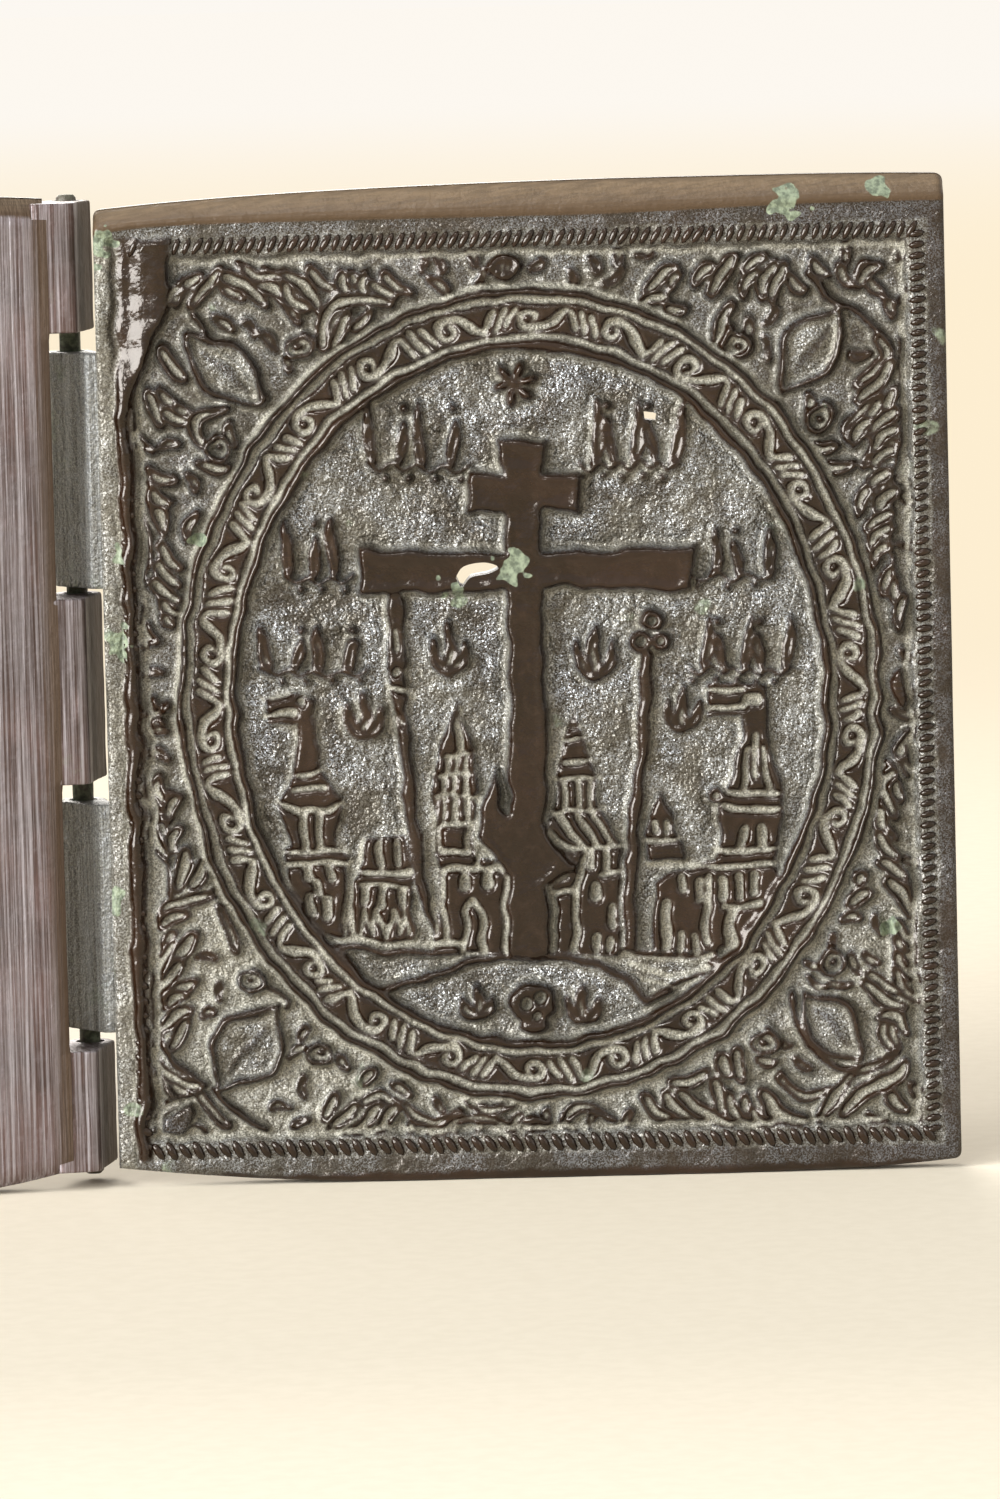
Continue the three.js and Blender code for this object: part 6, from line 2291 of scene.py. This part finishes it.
    def build_knuckles(self) -> None:
        """Build the cover leaf's two knuckles with their sloping webs."""
        h = self.hinges
        draft, shape = MeshDraft(), KnuckleShape()
        section = shape.sloping_section(h.cover_setback, h.cover_front - 0.02, h.cover_front - h.thickness)
        for low, high in h.wing_spans:
            shape.add(draft, h.cover, section, low, high, False, dust=0.4, grain=0.45, green=0.3)
        piece = draft.build("cover_knuckles", False, self.finishes.knuckle)
        keep_piece(piece, "cover", "dark_bronze", "cover_leaf")

    def build_rope(self, leaf: LeafFrame) -> None:
        """Lay the rope's strands along the top, the bottom and the free side."""
        left, right, low, high = self.rope_box
        deep = (LEVELS.ridge + 0.16) * MM
        for name, path, pitch, tilt, length in (
            ("cover_rope_top", ((left + 0.8, high), (right - 0.3, high)), 0.68, math.radians(62), 0.72),
            ("cover_rope_bottom", ((left + 0.8, low), (right - 0.3, low)), 0.86, math.radians(122), 0.74),
            ("cover_rope_side", ((right, low + 0.3), (right, high - 0.3)), 0.71, math.radians(-74), 0.58),
            ("cover_rope_hinge", ((left - 0.05, low + 0.4), (left - 0.05, 46.0)), 0.95, math.radians(70), 0.6),
        ):
            points = [[(x * MM, y * MM, deep) for x, y in path]]
            mesh = self.repeat.along(
                name,
                points,
                self.finishes.relief,
                Pitch=pitch * MM,
                Tilt=tilt,
                Length=length * MM,
                Width=pitch * 0.38 * MM,
                Height=0.3 * MM,
                Scatter=0.14,
            )
            keep_piece(placed(name, mesh, leaf.matrix()), "cover", "dark_bronze", "cover_leaf")


@dataclass
class PlainBackLeaf:
    """A leaf with a plain filed back, a carved front and knuckles."""

    name: str
    body: str
    leaf: LeafFrame
    outline: Outline
    front: ArcadeFront
    knuckles: tuple[tuple[HingeFrame, float, float, tuple[Point, ...]], ...]
    finishes: Finishes
    repeat: PathRepeat
    split: float = 1.6
    bevel_height: float = 1.2

    def back_depth(self, a: np.ndarray, b: np.ndarray) -> np.ndarray:
        """Return how deep the plain back lies, with its bevels and hammered waves."""
        into = (b - (self.outline.top(a) - self.bevel_height)) / self.bevel_height
        inward = smooth(np.minimum(a, self.leaf.width - a) / 4.0)
        wave = 0.03 * (1 + inward * np.sin(a * 0.33 + 1.3) * np.sin(b * 0.17))
        return self.outline.bevels(a, b, into) + wave

    def build(self) -> None:
        """Build the back half with its knuckles, then the front half."""
        spans = [span for _, _, _, rows in self.knuckles for span in rows]
        draft = MeshDraft()
        shell = LeafShell(self.leaf, self.outline, self.split)

        def layers(a: np.ndarray, b: np.ndarray) -> dict[str, np.ndarray]:
            """Return clean metal, with brown on the bevel."""
            made = {layer.value: np.zeros(len(a)) for layer in Layer}
            into = (b - self.outline.top(a)) / self.bevel_height + 1
            edge = 0.34 * smooth((a - self.leaf.width + 1.9) / 1.7)
            made["brown"] = np.maximum(edge, smooth(into / 0.1) * (0.5 + 0.5 * np.clip(into, 0, 1)))
            return made

        shell.build(draft, 0.5, self.back_depth, layers, False, keep=beside_knuckles(spans))
        shape = KnuckleShape(browned=True)
        for hinge, setback, front, rows in self.knuckles:
            section = shape.full_section(setback, front - 0.02, front - self.leaf.thickness + 0.03)
            for low, high in rows:
                flips = hinge.flips != self.leaf.hinge.flips
                shape.add(draft, hinge, section, low, high, flips, green=0.3)
        piece = draft.build(self.name + "_back", self.leaf.hinge.flips, self.finishes.filed)
        keep_piece(piece, self.body, "filed_bronze", self.name)
        FrontBuilder(self.leaf, self.outline, self.front, self.finishes, self.repeat).build(
            self.name + "_front", self.body, "filed_bronze", self.name
        )


@dataclass
class HingePin:
    """A hinge pin of round wire with hammered ends."""

    name: str
    axis: Point
    radius: float
    span: Point
    finish: bpy.types.Material
    spokes: int = 28

    def build(self) -> None:
        """Build the pin."""
        low, high = self.span
        z = np.concatenate([[low, low + 0.06, low + 0.2], np.linspace(low + 0.6, high - 0.6, 90),
                            [high - 0.2, high - 0.06, high]])
        near = np.clip(0.25 - np.minimum(z - low, high - z), 0, 0.25)
        noise = np.random.default_rng(SEED + 9).standard_normal((len(z), self.spokes))
        wobble = blurred(noise, 1.5)
        radius = self.radius - near[:, None] * 0.9 - 0.015 * np.abs(wobble / wobble.std())
        turns = np.linspace(0, ROUND, self.spokes, endpoint=False)
        hinge = HingeFrame(self.axis, Side.PLUS_X)
        draft = MeshDraft()
        tall = np.broadcast_to(z[:, None], radius.shape)
        draft.add(hinge.place(radius * np.cos(turns), radius * np.sin(turns), tall), dust=0.2, green=0.2)
        draft.face(grid_faces(0, len(z), self.spokes, wraps=True))
        draft.face(np.arange(self.spokes)[None, ::-1], False)
        draft.face(np.arange(self.spokes)[None, :] + (len(z) - 1) * self.spokes, False)
        piece = draft.build(self.name + "_wire", False, self.finish)
        keep_piece(piece, "centre", "pin_bronze", self.name)


@dataclass
class Studio:
    """The pale floor, the soft lights and the camera of the photograph."""

    cover: LeafFrame
    aim: Point = (25.5, 28.2)
    distance: float = 550.0
    lens: float = 203.4
    elevation: float = 5.5
    roll: float = 1.4
    beam: float = 1.5
    middle: Place = (0.03, 0.0, 0.03)

    def build(self, finishes: Finishes) -> None:
        """Set the floor, the lights, the world and the camera."""
        self.build_floor(finishes.floor)
        self.build_lights()
        self.build_world()
        self.build_camera()

    def build_floor(self, finish: bpy.types.Material) -> None:
        """Lay a wide round floor under the icon."""
        turns = np.linspace(0, ROUND, 72, endpoint=False)
        radii = (0.25, 0.6, 1.5, 4.0, 9.0)
        places = [(0.0, 0.0, 0.0)] + [(r * math.cos(t), r * math.sin(t), 0.0) for r in radii for t in turns]
        n = len(turns)
        faces = [(0, 1 + k, 1 + (k + 1) % n) for k in range(n)]
        for ring in range(len(radii) - 1):
            first = 1 + ring * n
            faces += [(first + k, first + n + k, first + n + (k + 1) % n, first + (k + 1) % n) for k in range(n)]
        mesh = bpy.data.meshes.new("floor")
        mesh.from_pydata(places, [], faces)
        mesh.materials.append(finish)
        floor = linked("floor", mesh)

    def build_lights(self) -> None:
        """Hang the soft window light, a weak fill and a light behind."""
        for name, place, size, power, colour in (
            ("window", (-0.42, -0.85, 0.33), (0.14, 0.14), 1.6, (0.97, 0.985, 1.0)),
            ("side_window", (-0.95, -0.42, 0.32), (0.8, 0.64), 29.0, (0.94, 0.97, 1.0)),
            ("fill", (0.75, -0.7, 0.35), (0.6, 0.6), 0.8, (1.0, 0.95, 0.88)),
            ("behind", (0.02, 0.6, 0.36), (0.4, 0.4), 0.95, (1.0, 0.97, 0.92)),
            ("overhead", (-0.15, -0.25, 1.1), (0.3, 0.3), 2.0, (0.97, 0.98, 1.0)),
        ):
            light = bpy.data.lights.new(name, "AREA")
            light.shape = "RECTANGLE"
            light.size, light.size_y = size
            light.energy, light.color = power, colour
            light.spread = self.beam if name == "behind" else math.pi
            holder = linked(name, light)
            holder.location = place
            toward = Vector(self.middle) - Vector(place)
            holder.rotation_euler = toward.to_track_quat("-Z", "Y").to_euler()

    @staticmethod
    def build_world() -> None:
        """Make the surroundings bright to the camera and even for the lighting."""
        world = bpy.data.worlds.new("surroundings")
        world.use_nodes = True
        build = Nodes(world.node_tree)
        path = build.add("ShaderNodeLightPath")
        seen = build.math("MAXIMUM", path.outputs["Is Camera Ray"], path.outputs["Is Transmission Ray"])
        seen = build.math("MAXIMUM", seen, path.outputs["Is Glossy Ray"])
        even = build.add("ShaderNodeBackground", {"Color": (0.95, 0.97, 1.0, 1.0), "Strength": 0.22})
        bright = build.add("ShaderNodeBackground", {"Color": (0.975, 0.935, 0.88, 1.0), "Strength": 1.0})
        mixed = build.add("ShaderNodeMixShader", {0: seen, 1: even.outputs[0], 2: bright.outputs[0]})
        build.add("ShaderNodeOutputWorld", {"Surface": mixed.outputs[0]})
        bpy.context.scene.world = world

    def build_camera(self) -> None:
        """Stand the camera square to the cover leaf's back, a little above it."""
        origin = self.cover.spot(0.0, 0.0, 0.0)
        right = Vector(self.cover.spot(1.0, 0.0, 0.0) - origin).normalized()
        back = Vector(self.cover.spot(0.0, 0.0, -1.0) - origin).normalized()
        target = Vector(self.cover.spot(*self.aim, 0.3))
        tilt = math.radians(self.elevation)
        away = back * math.cos(tilt) + Vector((0.0, 0.0, 1.0)) * math.sin(tilt)
        up = away.cross(right).normalized()
        turn = math.radians(self.roll)
        camera_right = right * math.cos(turn) - up * math.sin(turn)
        camera_up = right * math.sin(turn) + up * math.cos(turn)
        place = target + away * self.distance * MM
        rows = [[camera_right[i], camera_up[i], away[i], place[i]] for i in range(3)]
        camera = bpy.data.cameras.new("camera")
        camera.sensor_fit = "VERTICAL"
        camera.sensor_width = camera.sensor_height = 36.0
        camera.lens = self.lens
        camera.clip_start, camera.clip_end = 0.01, 50.0
        holder = linked("camera", camera)
        holder.matrix_world = Matrix([*rows, [0.0, 0.0, 0.0, 1.0]])
        bpy.context.scene.camera = holder


def main() -> None:
    """Build the icon and its studio."""
    logging.basicConfig(level=logging.INFO, format="%(name)s: %(message)s")
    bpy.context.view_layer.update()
    scene = bpy.context.scene
    scene.view_settings.view_transform = "Standard"
    hinges, finishes = HingeSizes(), Finishes()
    repeat = PathRepeat("strands_along_path")
    CoverLeaf(hinges, finishes, repeat).build()
    PlainBackLeaf(
        "centre_leaf",
        "centre",
        hinges.centre_leaf(),
        centre_outline(hinges.centre_width + hinges.centre_lap, hinges.height, 0.4, 1.3),
        ArcadeFront(hinges.centre_width, middle_size=1 / 0.92, robes=(Robe.HABIT, Robe.VESTMENT, Robe.MANTLE)),
        (
            (hinges.centre_at_cover, hinges.cover_side_setback, hinges.cover_front, hinges.centre_spans),
            (hinges.centre_at_inner, hinges.inner_setback, hinges.inner_front, hinges.centre_spans),
        ),
        finishes,
        repeat,
    ).build()
    PlainBackLeaf(
        "inner_leaf",
        "inner",
        hinges.inner_leaf(),
        wing_outline(hinges.inner_width, hinges.height, 0.6, 1.3),
        ArcadeFront(hinges.inner_width, robes=(Robe.VESTMENT, Robe.MANTLE, Robe.HABIT)),
        ((hinges.inner, hinges.inner_setback, hinges.inner_front, hinges.wing_spans),),
        finishes,
        repeat,
    ).build()
    for name, axis in (("cover_hinge_pin", hinges.cover.axis), ("inner_hinge_pin", hinges.inner.axis)):
        HingePin(name, axis, hinges.pin_radius, hinges.pin_span, finishes.pin).build()
    Studio(hinges.cover_leaf()).build(finishes)


if __name__ == "__main__":
    main()
